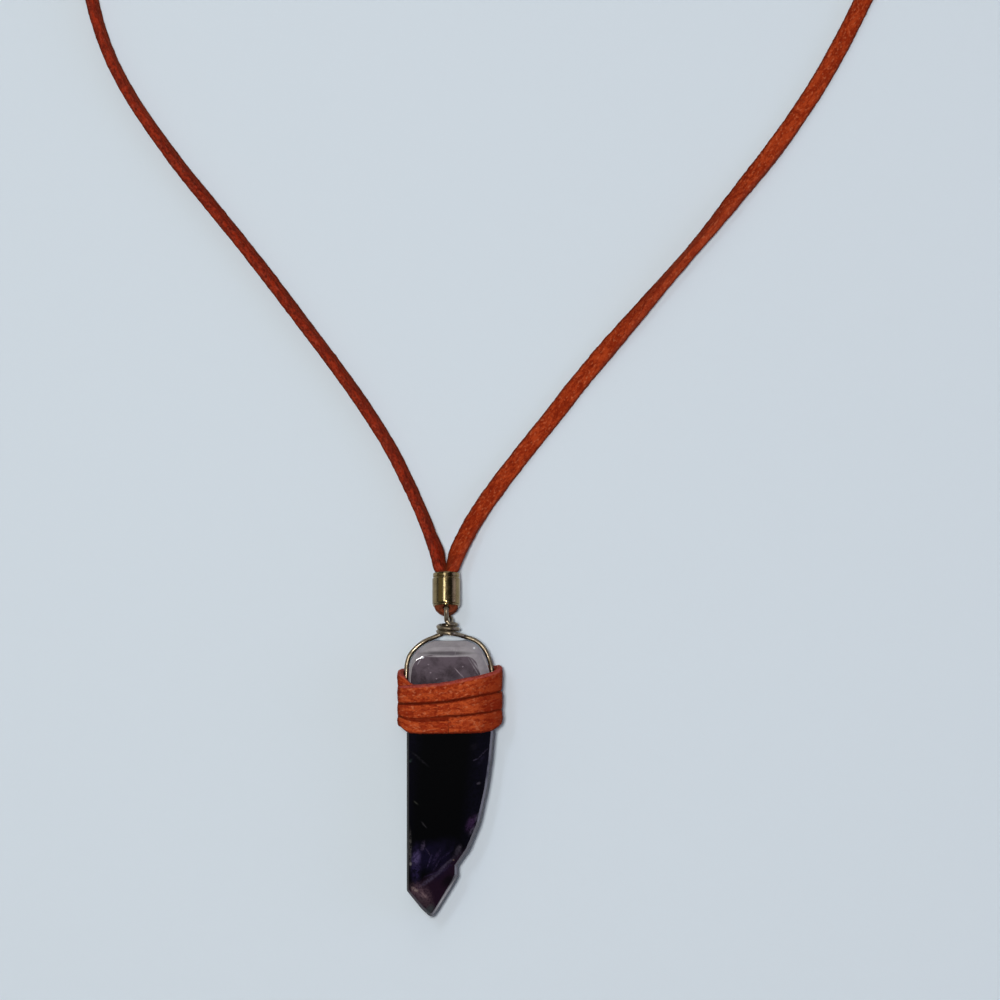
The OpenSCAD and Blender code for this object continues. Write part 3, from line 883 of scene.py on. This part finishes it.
def marked(mesh: bmesh.types.BMesh, section: LaceSection, line: Sequence[Vector]) -> None:
    """Marks on a swept lace how near each point is to a cut edge, and where on the lace it lies.

    Args:
        mesh: The swept lace.
        section: Its section.
        line: Its line.
    """
    rim = mesh.verts.layers.float.new("rim")
    lie = mesh.verts.layers.float_vector.new("lie")
    ring, spot = mesh.verts.layers.int["ring"], mesh.verts.layers.int["spot"]
    outline = section.outline()
    worn = [(section.width / 2 - distance) * MM for distance in RIM_BAND]
    near = [smooth_share(*worn, abs(across)) for across, _ in outline]
    along = [0.0]
    for a, b in zip(line, line[1:]):
        along.append(along[-1] + (b - a).length)
    for vert in mesh.verts:
        vert[rim] = near[vert[spot]]
        vert[lie] = Vector((along[vert[ring]], *outline[vert[spot]])) / MM


def rested(mesh: bmesh.types.BMesh) -> None:
    """Keeps a mesh above the surface that it lies on."""
    for vert in mesh.verts:
        vert.co.z = max(vert.co.z, 0.0)


@dataclass
class Lace:
    """One side of the necklace's suede lace, from the ferrule round to the clasp, in millimetres."""

    side: Side
    node: str
    route: Sequence[Sequence[float]]
    length: float
    section: LaceSection = LaceSection()
    leg_x: float = 0.92
    bore_radius: float = LACE_REACH
    ferrule_alongs: tuple[float, float] = (2.55, FERRULE_END)
    ferrule_end: float = FERRULE_END
    swollen_end: float = 8.6
    swell: float = 0.28
    squeeze: float = 0.12
    # The painted shade along the outline grows between these shares of the way out from the middle
    outline_shade: tuple[float, float] = (0.7, 0.94)
    ragged: float = 0.055
    clasp_centre: tuple[float, float, float] = CLASP_CENTRE
    clasp_alongs: tuple[float, float] = (8.0, 3.65)
    step: float = 0.2

    def rest_height(self, roll: float) -> float:
        """Height at which the lace's middle lies when the lace is rolled.

        Args:
            roll: The roll in radians.

        Returns:
            The height above the surface, in millimetres.
        """
        return max(abs(q[1] * math.cos(roll) - q[0] * math.sin(roll)) for q in self.section.outline()) / MM

    def path(self) -> tuple[list[Vector], list[float]]:
        """Line on which the lace lies.

        Returns:
            Points in metres, and the lace's lean at each, in radians.
        """
        side = self.side.value
        points = [HUNG @ Vector((side * self.leg_x * MM, along * MM, 0)) for along in self.ferrule_alongs]
        rolls = [90.0, 90.0]
        for x, y, roll, lift in self.route:
            points.append(Vector((x, y, self.rest_height(math.radians(roll)) + lift)) * MM)
            rolls.append(roll)
        cx, cy, cz = self.clasp_centre
        points += [Vector((cx + side * along, cy, cz)) * MM for along in self.clasp_alongs]
        rolls += [0.0, 0.0]
        samples, places = flowing(points, self.step * MM)
        leans = [-side * math.radians(lookup(list(enumerate(rolls)), place)) for place in places]
        return samples, leans

    def build(self, material: bpy.types.Material, with_pieces: Sequence[bpy.types.Object]) -> bpy.types.Object:
        """Args:
            material: Its material.
            with_pieces: Pieces at its far end; not used.

        Returns:
            The lace.
        """
        line, leans = self.path()
        mesh = swept(line, leans, self.section.outline(), Twist.UPRIGHT)
        marked(mesh, self.section, line)
        self.vary_width(mesh, line)
        self.shade_outline(mesh, line)
        shade_flanks(mesh)
        napped(mesh)
        rested(mesh)
        self.fill_ferrule(mesh, line)
        piece = finished(f"{self.side.name.lower()}_lace", mesh, material, [self.node])
        return piece

    def vary_width(self, mesh: bmesh.types.BMesh, line: Sequence[Vector]) -> None:
        """Makes the lace a little wider and narrower along its length, as cut by hand, with ragged cut edges.

        Args:
            mesh: The swept lace.
            line: Its line.
        """
        ring, rim = mesh.verts.layers.int["ring"], mesh.verts.layers.float["rim"]
        for vert in mesh.verts:
            centre = line[vert[ring]]
            swell = 1 + 0.035 * waves(centre, 95) + 0.02 * waves(centre, 410)
            torn = waves(vert.co, 1150) + 0.8 * waves(vert.co, 2700)
            out = vert.co - centre
            vert.co = centre + out * swell + out.normalized() * (self.ragged * vert[rim] * torn * MM)

    def shade_outline(self, mesh: bmesh.types.BMesh, line: Sequence[Vector]) -> None:
        """Marks the outermost edges of the lace as it lies, seen from above, for painted shade along its outline.

        Args:
            mesh: The swept lace.
            line: Its line.
        """
        outline_shade = mesh.verts.layers.float.new("outline_shade")
        ring = mesh.verts.layers.int["ring"]
        far = [0.0] * len(line)
        for vert in mesh.verts:
            i = vert[ring]
            along = (line[min(i + 1, len(line) - 1)] - line[max(i - 1, 0)]).xy.normalized()
            vert[outline_shade] = abs((vert.co - line[i]).xy.cross(along))
            far[i] = max(far[i], vert[outline_shade])
        for vert in mesh.verts:
            vert[outline_shade] = smooth_share(*self.outline_shade, vert[outline_shade] / far[vert[ring]])

    def fill_ferrule(self, mesh: bmesh.types.BMesh, line: Sequence[Vector]) -> None:
        """Thickens the lace where it fills its half of the ferrule, and keeps it within the bore.

        Args:
            mesh: The swept lace.
            line: Its line.
        """
        ring = mesh.verts.layers.int["ring"]
        back = HUNG.inverted()
        for vert in mesh.verts:
            local = back @ vert.co
            if local.y < self.swollen_end * MM:
                middle = back @ line[vert[ring]]
                share = 1 - smooth_share(self.ferrule_end * MM, self.swollen_end * MM, local.y)
                local.x = middle.x + (local.x - middle.x) * (1 + self.swell * share)
                local.x -= self.side.value * self.squeeze * share * MM
                vert.co = HUNG @ local
        pressed(mesh, self.bore_radius, self.ferrule_end + 0.1)


def pressed(mesh: bmesh.types.BMesh, radius: float, end: float, start: float = 0.3) -> None:
    """Presses the points of a mesh that are in the ferrule within its bore.

    Args:
        mesh: The mesh to change.
        radius: Radius that they stay within, in millimetres.
        end: Where the ferrule ends, along it.
        start: Where it starts.
    """
    back = HUNG.inverted()
    for vert in mesh.verts:
        local = back @ vert.co
        out = math.hypot(local.x, local.z)
        if start * MM < local.y < end * MM and out > radius * MM:
            local.x *= radius * MM / out
            local.z *= radius * MM / out
            vert.co = HUNG @ local


@dataclass
class Wrap:
    """Suede lace wound round the crystal and the wire, in the crystal's frame and in millimetres.

    A place on the way round counts corners: 4, 8 and 12 are the front left corner, and the next ones are
    the front right, back right and back left. Each table has the place, the lace's lower and its upper edge.
    """

    inner: tuple[float, float] = (7.73, 2.86)
    corner: float = 0.8
    corner_share: float = 0.1
    bends: int = 10
    step: float = 0.2
    section: LaceSection = LaceSection(2.8, 1.1, 0.45, 0.09, 0.14)
    wound: tuple[tuple[float, float, float], ...] = (
        (4.487, 1.98, 4.8), (4.64, 2.03, 4.88), (4.79, 2.13, 5.28), (4.88, 2.38, 5.48), (4.95, 2.78, 5.73),
        (5.05, 3.28, 5.88), (5.5, 3.33, 5.78), (6, 3.18, 5.78), (7, 4.38, 6.93), (7.5, 4.73, 6.98),
        (7.9, 4.98, 6.93), (7.97, 4.83, 6.83), (8.06, 4.44, 6.78), (8.12, 4.3, 6.83), (8.21, 4.4, 6.83),
        (8.36, 4.6, 6.98), (8.5, 4.86, 7.23), (8.64, 4.96, 7.68), (8.79, 5.33, 8.18), (8.88, 5.53, 8.43),
        (8.95, 5.78, 8.63), (9.0, 5.83, 8.68), (9.5, 5.93, 8.73), (10, 6.08, 8.73), (11, 6.98, 9.53),
        (11.5, 7.03, 9.73), (11.9, 6.93, 9.88), (12.1, 6.93, 9.93), (12.21, 6.93, 9.98), (12.36, 7.1, 10.18),
        (12.5, 7.38, 10.53), (12.64, 7.83, 11.03), (12.79, 8.33, 11.53), (12.88, 8.58, 11.98),
        (12.95, 8.78, 12.38), (13.1, 9.18, 12.93), (13.5, 9.78, 13.08), (14, 9.98, 12.88), (15, 9.68, 12.28),
        (15.5, 9.68, 12.28), (15.9, 9.58, 11.98), (16.0, 9.18, 11.48), (16.1, 8.58, 10.58), (16.16, 8.18, 9.98),
    )
    closing: tuple[tuple[float, float, float], ...] = (
        (3, 2.7, 4.8), (3.5, 3.28, 4.88), (3.9, 3.48, 4.88), (4.0, 2.88, 4.73), (4.06, 2.33, 4.38),
        (4.12, 2.03, 4.14), (4.21, 1.93, 4.06), (4.36, 1.93, 4.08), (4.484, 1.98, 4.2),
    )
    under: tuple[tuple[float, float, float], ...] = (
        (4.03, 3.38, 5.08), (4.2, 2.98, 4.68), (4.52, 2.88, 4.98),
    )
    under_depth: float = 0.3
    # The upper edge lies free from one place on, and the lower edge up to the other
    free_from: float = 11.9
    free_to: float = 6.6
    # The free upper edge is worn between these distances from it
    worn: tuple[float, float] = (0.46, 0.26)
    # The sides are pressed flat by the first share and drawn in by the others
    side_fill: float = 0.6
    side_pull: tuple[float, float] = (0.9, 0.84)
    # Painted shade in the grooves between the turns: its width from each edge and its share
    groove: float = 0.42
    groove_shade_share: float = 0.75
    # The right end gets painted shade between these places across
    shaded_end: tuple[float, float] = (2.2, 7.6)
    end_shade_share: float = 0.7
    nap: tuple[float, float] = (0.035, 0.07)
    tuck: tuple[tuple[float, float], ...] = ((15.9, 0.0), (16.16, -0.9))

    def spot(self, place: float, out: float) -> Vector:
        """Point of the way round, seen along the crystal.

        Args:
            place: Place on the way round.
            out: Distance outwards from what is bound.

        Returns:
            The point with its height left at 0.
        """
        nearest = round(place)
        share = place - nearest
        if abs(share) <= self.corner_share:
            return self.bend(nearest, 45 + 45 * share / self.corner_share, out)
        first = math.floor(place)
        span = (place - first - self.corner_share) / (1 - 2 * self.corner_share)
        return self.bend(first, 90, out).lerp(self.bend(first + 1, 0, out), span)

    def bend(self, corner: int, angle: float, out: float) -> Vector:
        """Point of a corner's curve.

        Args:
            corner: Number of the corner.
            angle: Angle within the curve, from 0 to 90 degrees.
            out: Distance outwards from what is bound.

        Returns:
            The point with its height left at 0.
        """
        sx, sz = ((-1, 1), (1, 1), (1, -1), (-1, -1))[corner % 4]
        a = math.radians((180, 90, 0, 270)[corner % 4] - angle)
        r = self.corner + out
        return Vector((sx * (self.inner[0] - self.corner) + r * math.cos(a),
                       -sz * (self.inner[1] - self.corner) - r * math.sin(a), 0)) * MM

    def places(self, start: float, end: float) -> list[float]:
        """Places on the way round, closer together where it bends.

        Args:
            start: First place.
            end: Last place.

        Returns:
            The places in order.
        """
        found = [start]
        while found[-1] < end - 1e-4:
            here = found[-1]
            near = abs(here - round(here)) < self.corner_share - 1e-4
            # The wide front and back follow the even corners, and the narrow sides the odd ones
            length = 2 * self.inner[int(here + 1e-3) % 2]
            stride = 2 * self.corner_share / self.bends if near else self.step / max(length, self.step)
            found.append(min(end, here + stride))
        return found

    def turn(self, edges: Sequence[Sequence[float]], sink: Callable[[float], float],
             dark: float = 0.0) -> bmesh.types.BMesh:
        """Winds one stretch of lace.

        Args:
            edges: Rows of place, lower edge and upper edge.
            sink: How far the stretch lies out of its layer, at a place.
            dark: Least share of the painted flank shade.

        Returns:
            The stretch in the crystal's frame, with its nap.
        """
        places = self.places(edges[0][0], edges[-1][0])
        line = [self.spot(place, self.section.thickness / 2 + sink(place)) for place in places]
        mesh = swept(line, [math.pi / 2] * len(line), self.section.outline(), Twist.UPRIGHT)
        marked(mesh, self.section, line)
        self.fit(mesh, places, edges)
        bmesh.ops.transform(mesh, matrix=LAID @ ALONG_Y, verts=mesh.verts)
        shade_flanks(mesh, dark)
        self.darken(mesh)
        napped(mesh, *self.nap)
        return mesh

    def fit(self, mesh: bmesh.types.BMesh, places: Sequence[float], edges: Sequence[Sequence[float]]) -> None:
        """Lays a stretch between its edges, marks where its upper edge is worn, and presses its sides.

        Args:
            mesh: The stretch, swept round at height 0.
            places: Place on the way round of each ring.
            edges: Rows of place, lower edge and upper edge.
        """
        ring = mesh.verts.layers.int["ring"]
        rim, lie = mesh.verts.layers.float["rim"], mesh.verts.layers.float_vector["lie"]
        width, thickness = self.section.width, self.section.thickness
        for vert in mesh.verts:
            place = places[vert[ring]]
            low, high = lookup(edges, place, 1), lookup(edges, place, 2)
            share = vert.co.z / (width * MM) + 0.5
            free = place > self.free_from and share > 0.5
            fill = 0.0 if free or (place < self.free_to and share < 0.5) else self.side_fill
            vert[rim] = smooth_share(*self.worn, width / 2 - abs(vert[lie].y)) if free else 0.0
            vert.co.z = (low + (high - low) * share) * MM
            out = abs(vert.co.x) / MM - self.inner[0]
            if out > 0:
                out += fill * smooth_share(0.3, 0.7, out) * (thickness - out)
                pull = self.side_pull[1 if vert.co.x > 0 else 0]
                vert.co.x = math.copysign((self.inner[0] + out * pull) * MM, vert.co.x)

    def darken(self, mesh: bmesh.types.BMesh) -> None:
        """Marks painted shade in the grooves between the turns and on the right end, like the flanks' painted shade.

        Args:
            mesh: The stretch in its place.
        """
        rim, flank_shade = mesh.verts.layers.float["rim"], mesh.verts.layers.float["flank_shade"]
        lie = mesh.verts.layers.float_vector["lie"]
        half = self.section.width / 2
        for vert in mesh.verts:
            groove = smooth_share(half - self.groove, half - 0.06, abs(vert[lie].y))
            uneven = self.groove_shade_share * (1 + 0.5 * waves(vert.co, 420))
            turned = smooth_share(*self.shaded_end, vert.co.x / MM)
            # Painted shade in the grooves and towards the right end
            vert[flank_shade] = min(1.0, max(vert[flank_shade], uneven * groove * (1 - vert[rim]), self.end_shade_share * turned))

    def build(self, material: bpy.types.Material) -> bpy.types.Object:
        """Makes the whole wrap.

        Args:
            material: Its material.

        Returns:
            The wrap.
        """
        whole = self.turn(self.wound, lambda place: lookup(self.tuck, place))
        # The stretch tucked under the turns gets painted shade nearly all over
        for edges, depth, dark in ((self.closing, 0.0, 0.0), (self.under, -self.under_depth, 0.9)):
            stretch = self.turn(edges, lambda place, depth=depth: depth, dark)
            data = bpy.data.meshes.new("stretch")
            stretch.to_mesh(data)
            stretch.free()
            whole.from_mesh(data)
            bpy.data.meshes.remove(data)
        return finished("wound_lace", whole, material, ["wrap"])


@dataclass
class Fold:
    """Middle of the lace, folded round the wire's eye and tucked into the ferrule, in the ferrule's frame."""

    section: LaceSection = LaceSection(2.7, 1.3, 0.38, 0.05, 0.14)
    leg: tuple[tuple[float, float, float], ...] = (
        (0.88, 2.5, 1.3), (0.92, 1.5, 1.4), (1.08, 0.75, 1.5), (1.18, 0.35, 1.5), (1.1, 0.0, 1.22),
        (0.86, -0.36, 0.92), (0.48, -0.64, 0.72),
    )
    bottom: tuple[float, float, float] = (0.0, -0.76, 0.66)
    bore_radius: float = LACE_REACH
    bore_start: float = 0.45
    ferrule_end: float = FERRULE_END
    # Painted shade over the whole fold, at least this share
    least_flank_shade: float = 0.3
    step: float = 0.12

    def build(self, material: bpy.types.Material) -> bpy.types.Object:
        """Makes the fold.

        Args:
            material: Its material.

        Returns:
            The fold.
        """
        rows = [*self.leg, self.bottom, *((-x, y, t) for x, y, t in reversed(self.leg))]
        line, places = flowing([Vector((x, y, 0)) * MM for x, y, _ in rows], self.step * MM)
        table = [(i, row[2] / self.section.thickness) for i, row in enumerate(rows)]
        mesh = swept(line, [math.pi / 2] * len(line), self.section.outline(), Twist.UPRIGHT)
        marked(mesh, self.section, line)
        ring = mesh.verts.layers.int["ring"]
        for vert in mesh.verts:
            centre, share = line[vert[ring]], lookup(table, places[vert[ring]])
            vert.co.xy = centre.xy + (vert.co.xy - centre.xy) * share
        bmesh.ops.transform(mesh, matrix=HUNG, verts=mesh.verts)
        shade_flanks(mesh, self.least_flank_shade)
        napped(mesh)
        pressed(mesh, self.bore_radius, self.ferrule_end, self.bore_start)
        return finished("folded_lace", mesh, material, ["lace_fold"])


@dataclass
class Crystal:
    """The cut slab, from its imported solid, with its edges polished."""

    flat: float = 1.5
    polished_edge: float = 0.1
    front_cut: tuple[float, float] = (0.25, 0.975)
    steep: float = 0.8
    root_from: float = 6.0
    facet_area: float = 0.12
    # How much painted light the bevel gets below the root, where it faces right, left and down
    pale: tuple[float, float, float] = (1.0, 0.2, 0.5)

    def bevel_lightness(self, face: bmesh.types.BMFace) -> float:
        """How much painted light a face gets: the bevel is painted palest at the root and where it is low and faces
        right.

        Args:
            face: The face.

        Returns:
            A share from 0 to 1.
        """
        normal = LAID.to_3x3().inverted() @ face.normal
        low, high = self.front_cut
        if not low < normal.z < high:
            return 0.0
        if face.calc_center_median().y > self.root_from * MM:
            return 1.0
        right, left, down = self.pale
        facing = right if normal.x > 0 else left if normal.y > -0.2 else down
        return facing if normal.z > self.steep else 0.5 * facing

    def build(self, material: bpy.types.Material) -> bpy.types.Object:
        """Makes the crystal.

        Args:
            material: Its material.

        Returns:
            The crystal.
        """
        mesh = bmesh.new()
        mesh.from_mesh(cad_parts["crystal"].data)
        bmesh.ops.remove_doubles(mesh, verts=mesh.verts, dist=2e-6)
        bmesh.ops.dissolve_limit(mesh, angle_limit=math.radians(self.flat), verts=mesh.verts, edges=mesh.edges)
        rounded_edges(mesh, least=22, width=self.polished_edge * MM, segments=3)
        bmesh.ops.triangulate(mesh, faces=[f for f in mesh.faces if len(f.verts) > 4])
        # Marks how much painted light each bevel face gets
        cut = mesh.faces.layers.float.new("cut")
        for face in mesh.faces:
            face[cut] = self.bevel_lightness(face)
        piece = finished("cut_amethyst", mesh, material, ["crystal"], 30)
        for polygon in piece.data.polygons:
            polygon.use_smooth = polygon.area < self.facet_area * MM * MM
        return piece


@dataclass
class WireBail:
    """One wire up the crystal's left side, through the eye, twice round its own neck and down the right side."""

    diameter: float = 0.74
    neck_x: float = -0.55
    coil_radius: float = 1.4
    coil_widening: float = 0.35
    coil_shift: float = 0.35
    coil_top: float = 20.05
    coil_low: float = 18.55
    coil_turns: int = 2
    coil_steps: int = 16
    coil_start: float = 70
    coil_short: float = 20
    eye_half: float = 1.95
    eye_corner: float = 0.55
    left_arm: tuple[tuple[float, float, float], ...] = (
        (-7.3, 3.6, 0), (-7.3, 7.5, 0), (-7.3, 11.6, 0), (-7.2, 13.2, 0), (-6.75, 14.7, 0), (-5.75, 15.95, 0),
        (-4.5, 16.95, 0), (-2.6, 17.8, -0.4), (-1.4, 18.35, -0.45), (-0.7, 18.95, -0.3), (-0.2, 19.5, -0.3),
    )
    right_arm: tuple[tuple[float, float, float], ...] = (
        (2.4, 17.9, 0), (4.4, 17.1, 0), (5.5, 16.1, 0), (6.27, 14.75, 0), (6.7, 13.5, 0), (6.95, 12.3, 0),
        (7.05, 10.9, 0), (7.2, 7.5, 0), (7.3, 3.6, 0),
    )
    # Along the ferrule, distance from its middle, and how far the back leg stands to the right
    eye_side: tuple[tuple[float, float, float], ...] = (
        (-2.35, 0.25, 0.7), (-2.0, 0.9, 0.85), (-1.55, 1.5, 0.8), (-1.0, 1.88, 0.5),
    )
    sides: int = 16
    step: float = 0.12

    def eye(self) -> list[tuple[float, float, float]]:
        """Way through the eye, up its front leg and down its back leg.

        Returns:
            Points in the ferrule's frame.
        """
        half = list(self.eye_side)
        for angle in range(0, 91, 15):
            a = math.radians(angle)
            half.append((self.eye_corner * (math.sin(a) - 1), self.eye_half + self.eye_corner * (math.cos(a) - 1), 0))
        return [(x, y, -z) for y, z, x in half] + [(0, y, z) for y, z, _ in reversed(half[1:])]

    def coil(self) -> list[tuple[float, float, float]]:
        """Way round the neck.

        Returns:
            Points in the crystal's frame.
        """
        steps = self.coil_turns * self.coil_steps
        coil = []
        for i in range(steps + 1):
            share = i / steps
            a = math.radians(self.coil_start - share * (360 * self.coil_turns - self.coil_short))
            radius = self.coil_radius + self.coil_widening * share
            coil.append((self.neck_x + self.coil_shift * share + radius * math.cos(a),
                         self.coil_top + (self.coil_low - self.coil_top) * share, radius * math.sin(a)))
        return coil

    def line(self) -> list[Vector]:
        """Line of the wire.

        Returns:
            Points in metres, in place.
        """
        points = [LAID @ (Vector(p) * MM) for p in self.left_arm]
        points += [HUNG @ (Vector(p) * MM) for p in self.eye()]
        points += [LAID @ (Vector(p) * MM) for p in (*self.coil(), *self.right_arm)]
        return flowing(points, self.step * MM)[0]

    def build(self, material: bpy.types.Material) -> bpy.types.Object:
        """Makes the wire.

        Args:
            material: Its material.

        Returns:
            The wire.
        """
        radius = self.diameter / 2 * MM
        turns = [math.tau * k / self.sides for k in range(self.sides)]
        line = self.line()
        mesh = swept(line, [0.0] * len(line), [(radius * math.cos(a), radius * math.sin(a)) for a in turns],
                     Twist.CARRIED)
        return finished("bail_wire", mesh, material, ["wire_bail"], 60)


@dataclass
class Ferrule:
    """Crimped tube that holds the laces, in its own frame and in millimetres."""

    radius: float = 2.33
    bore: float = 1.98
    steps: int = 72
    profile: tuple[tuple[float, float], ...] = (
        (0.4, 0.2), (0.5, 0.1), (0.65, 0.1), (0.72, 0.18), (0.8, 0.04), (0.9, 0.0), (1.0, 0.0), (4.92, 0.0),
        (5.0, 0.0), (5.08, 0.04), (5.14, 0.2), (5.28, 0.2), (5.36, 0.08), (5.42, 0.08), (5.7, 0.08), (5.75, 0.08),
        (5.92, 0.12), (6.0, 0.2),
    )

    def build(self, material: bpy.types.Material) -> bpy.types.Object:
        """Makes the ferrule.

        Args:
            material: Its material.

        Returns:
            The ferrule.
        """
        outer = [(self.radius - inset, along) for along, inset in self.profile]
        inner = [(self.bore, along) for along in (self.profile[-1][0], 3.2, self.profile[0][0])]
        mesh = spun(outer + inner, self.steps)
        bmesh.ops.transform(mesh, matrix=HUNG @ ALONG_Y, verts=mesh.verts)
        return finished("ferrule_tube", mesh, material, ["ferrule"], 50)


@dataclass
class Clasp:
    """Plain barrel clasp at the back of the neck, in millimetres."""

    centre: tuple[float, float, float] = CLASP_CENTRE
    length: float = 16
    radius: float = 2.3
    bore: float = 1.57
    bore_depth: float = 4.4
    steps: int = 64
    half_profile: tuple[tuple[float, float], ...] = (
        (0.0, 0.3), (0.25, 0.3), (0.4, 0.0), (6.4, 0.0), (6.6, 0.2), (6.9, 0.2), (7.1, 0.05), (7.8, 0.05), (8.0, 0.3),
    )

    def build(self, material: bpy.types.Material) -> bpy.types.Object:
        """Makes the clasp.

        Args:
            material: Its material.

        Returns:
            The clasp.
        """
        half = [(self.radius - inset, along) for along, inset in self.half_profile]
        ends = [(self.bore, self.length / 2), (self.bore, self.length / 2 - self.bore_depth)]
        upper = half[1:] + ends
        mesh = spun([*upper, *((r, -z) for r, z in reversed(upper)), half[0]], self.steps)
        matrix = Matrix.Translation(Vector(self.centre) * MM) @ ALONG_X
        bmesh.ops.transform(mesh, matrix=matrix, verts=mesh.verts)
        return finished("barrel_clasp", mesh, material, ["clasp"], 50)


# Routes of the laces as they lie. Columns: x, y, roll towards the inside in degrees, lift above the surface
LEFT_ROUTE = (
    (-1.75, 29.75, 68, 2.4), (-2.1, 31.4, 57, 2.1), (-3.35, 34.9, 66, 1.15), (-5.05, 39.1, 69, 0.45),
    (-6.95, 43.3, 66, 0.12), (-10.05, 49.4, 66, 0), (-14.0, 55.7, 67, 0), (-18.8, 62.5, 68, 0),
    (-24.9, 70.6, 68, 0), (-30.15, 77.55, 65, 0), (-34.75, 83.45, 65, 0), (-40.0, 89.9, 66, 0),
    (-45.0, 96.1, 67, 0), (-49.55, 102.3, 69, 0), (-53.55, 108.4, 71, 0), (-56.6, 114.3, 72, 0),
    (-58.9, 120.8, 70, 0), (-60.4, 128.0, 64, 0), (-61.4, 136.0, 56, 0), (-61.7, 145.0, 48, 0),
    (-61.0, 154.0, 42, 0), (-59.1, 163.0, 38, 0), (-56.0, 172.0, 34, 0), (-51.7, 180.8, 30, 0),
    (-46.2, 189.1, 26, 0), (-39.5, 196.8, 22, 0), (-31.7, 203.7, 18, 0), (-23.2, 209.7, 14, 0.1),
    (-15.0, 214.6, 8, 0.6), (-8.2, 218.3, 2, 1.3),
)
RIGHT_ROUTE = (
    (0.52, 29.75, 68, 2.4), (1.05, 31.4, 45, 2.2), (2.6, 34.7, 32, 1.5), (4.85, 38.5, 12, 0.85),
    (8.0, 43.0, 4, 0.4), (12.2, 48.45, 0, 0.1), (16.7, 54.05, 2, 0), (21.6, 60.3, 8, 0), (26.6, 66.25, 26, 0),
    (30.9, 71.25, 50, 0), (35.2, 76.25, 66, 0), (39.85, 81.6, 72, 0), (44.25, 86.85, 62, 0),
    (48.3, 91.95, 44, 0), (52.9, 97.65, 24, 0), (57.3, 103.7, 8, 0), (61.6, 110.3, 0, 0), (65.1, 116.5, 0, 0),
    (68.7, 123.7, 0, 0), (72.0, 131.2, 0, 0), (74.4, 139.4, 2, 0), (75.8, 148.0, 4, 0), (75.9, 157.0, 6, 0),
    (74.6, 166.0, 8, 0), (71.8, 174.8, 10, 0), (67.5, 183.2, 10, 0), (61.7, 191.2, 10, 0), (54.6, 198.4, 8, 0),
    (46.4, 204.8, 6, 0), (37.5, 210.2, 4, 0), (28.6, 214.6, 2, 0.5), (19.6, 218.2, 0, 1.2),
)


def main() -> None:
    """Builds the stage and the necklace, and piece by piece."""
    logging.basicConfig(level=logging.INFO, format="%(name)s: %(message)s")
    Stage().build()
    ferrule_brass = FERRULE_BRASS.material()
    clasp = Clasp().build(ferrule_brass)
    Lace(Side.LEFT, "lace_left", LEFT_ROUTE, 243.7).build(SHADED_LACE_SUEDE.material(), [clasp])
    Lace(Side.RIGHT, "lace_right", RIGHT_ROUTE, 255.5).build(LACE_SUEDE.material(), [clasp])
    Wrap().build(WRAP_SUEDE.material())
    Fold().build(SHADED_FOLD_SUEDE.material())
    Ferrule().build(ferrule_brass)
    WireBail().build(WIRE_BRASS.material())
    Crystal().build(Amethyst().material())
    log.info("boxes written")


if __name__ == "__main__":
    main()
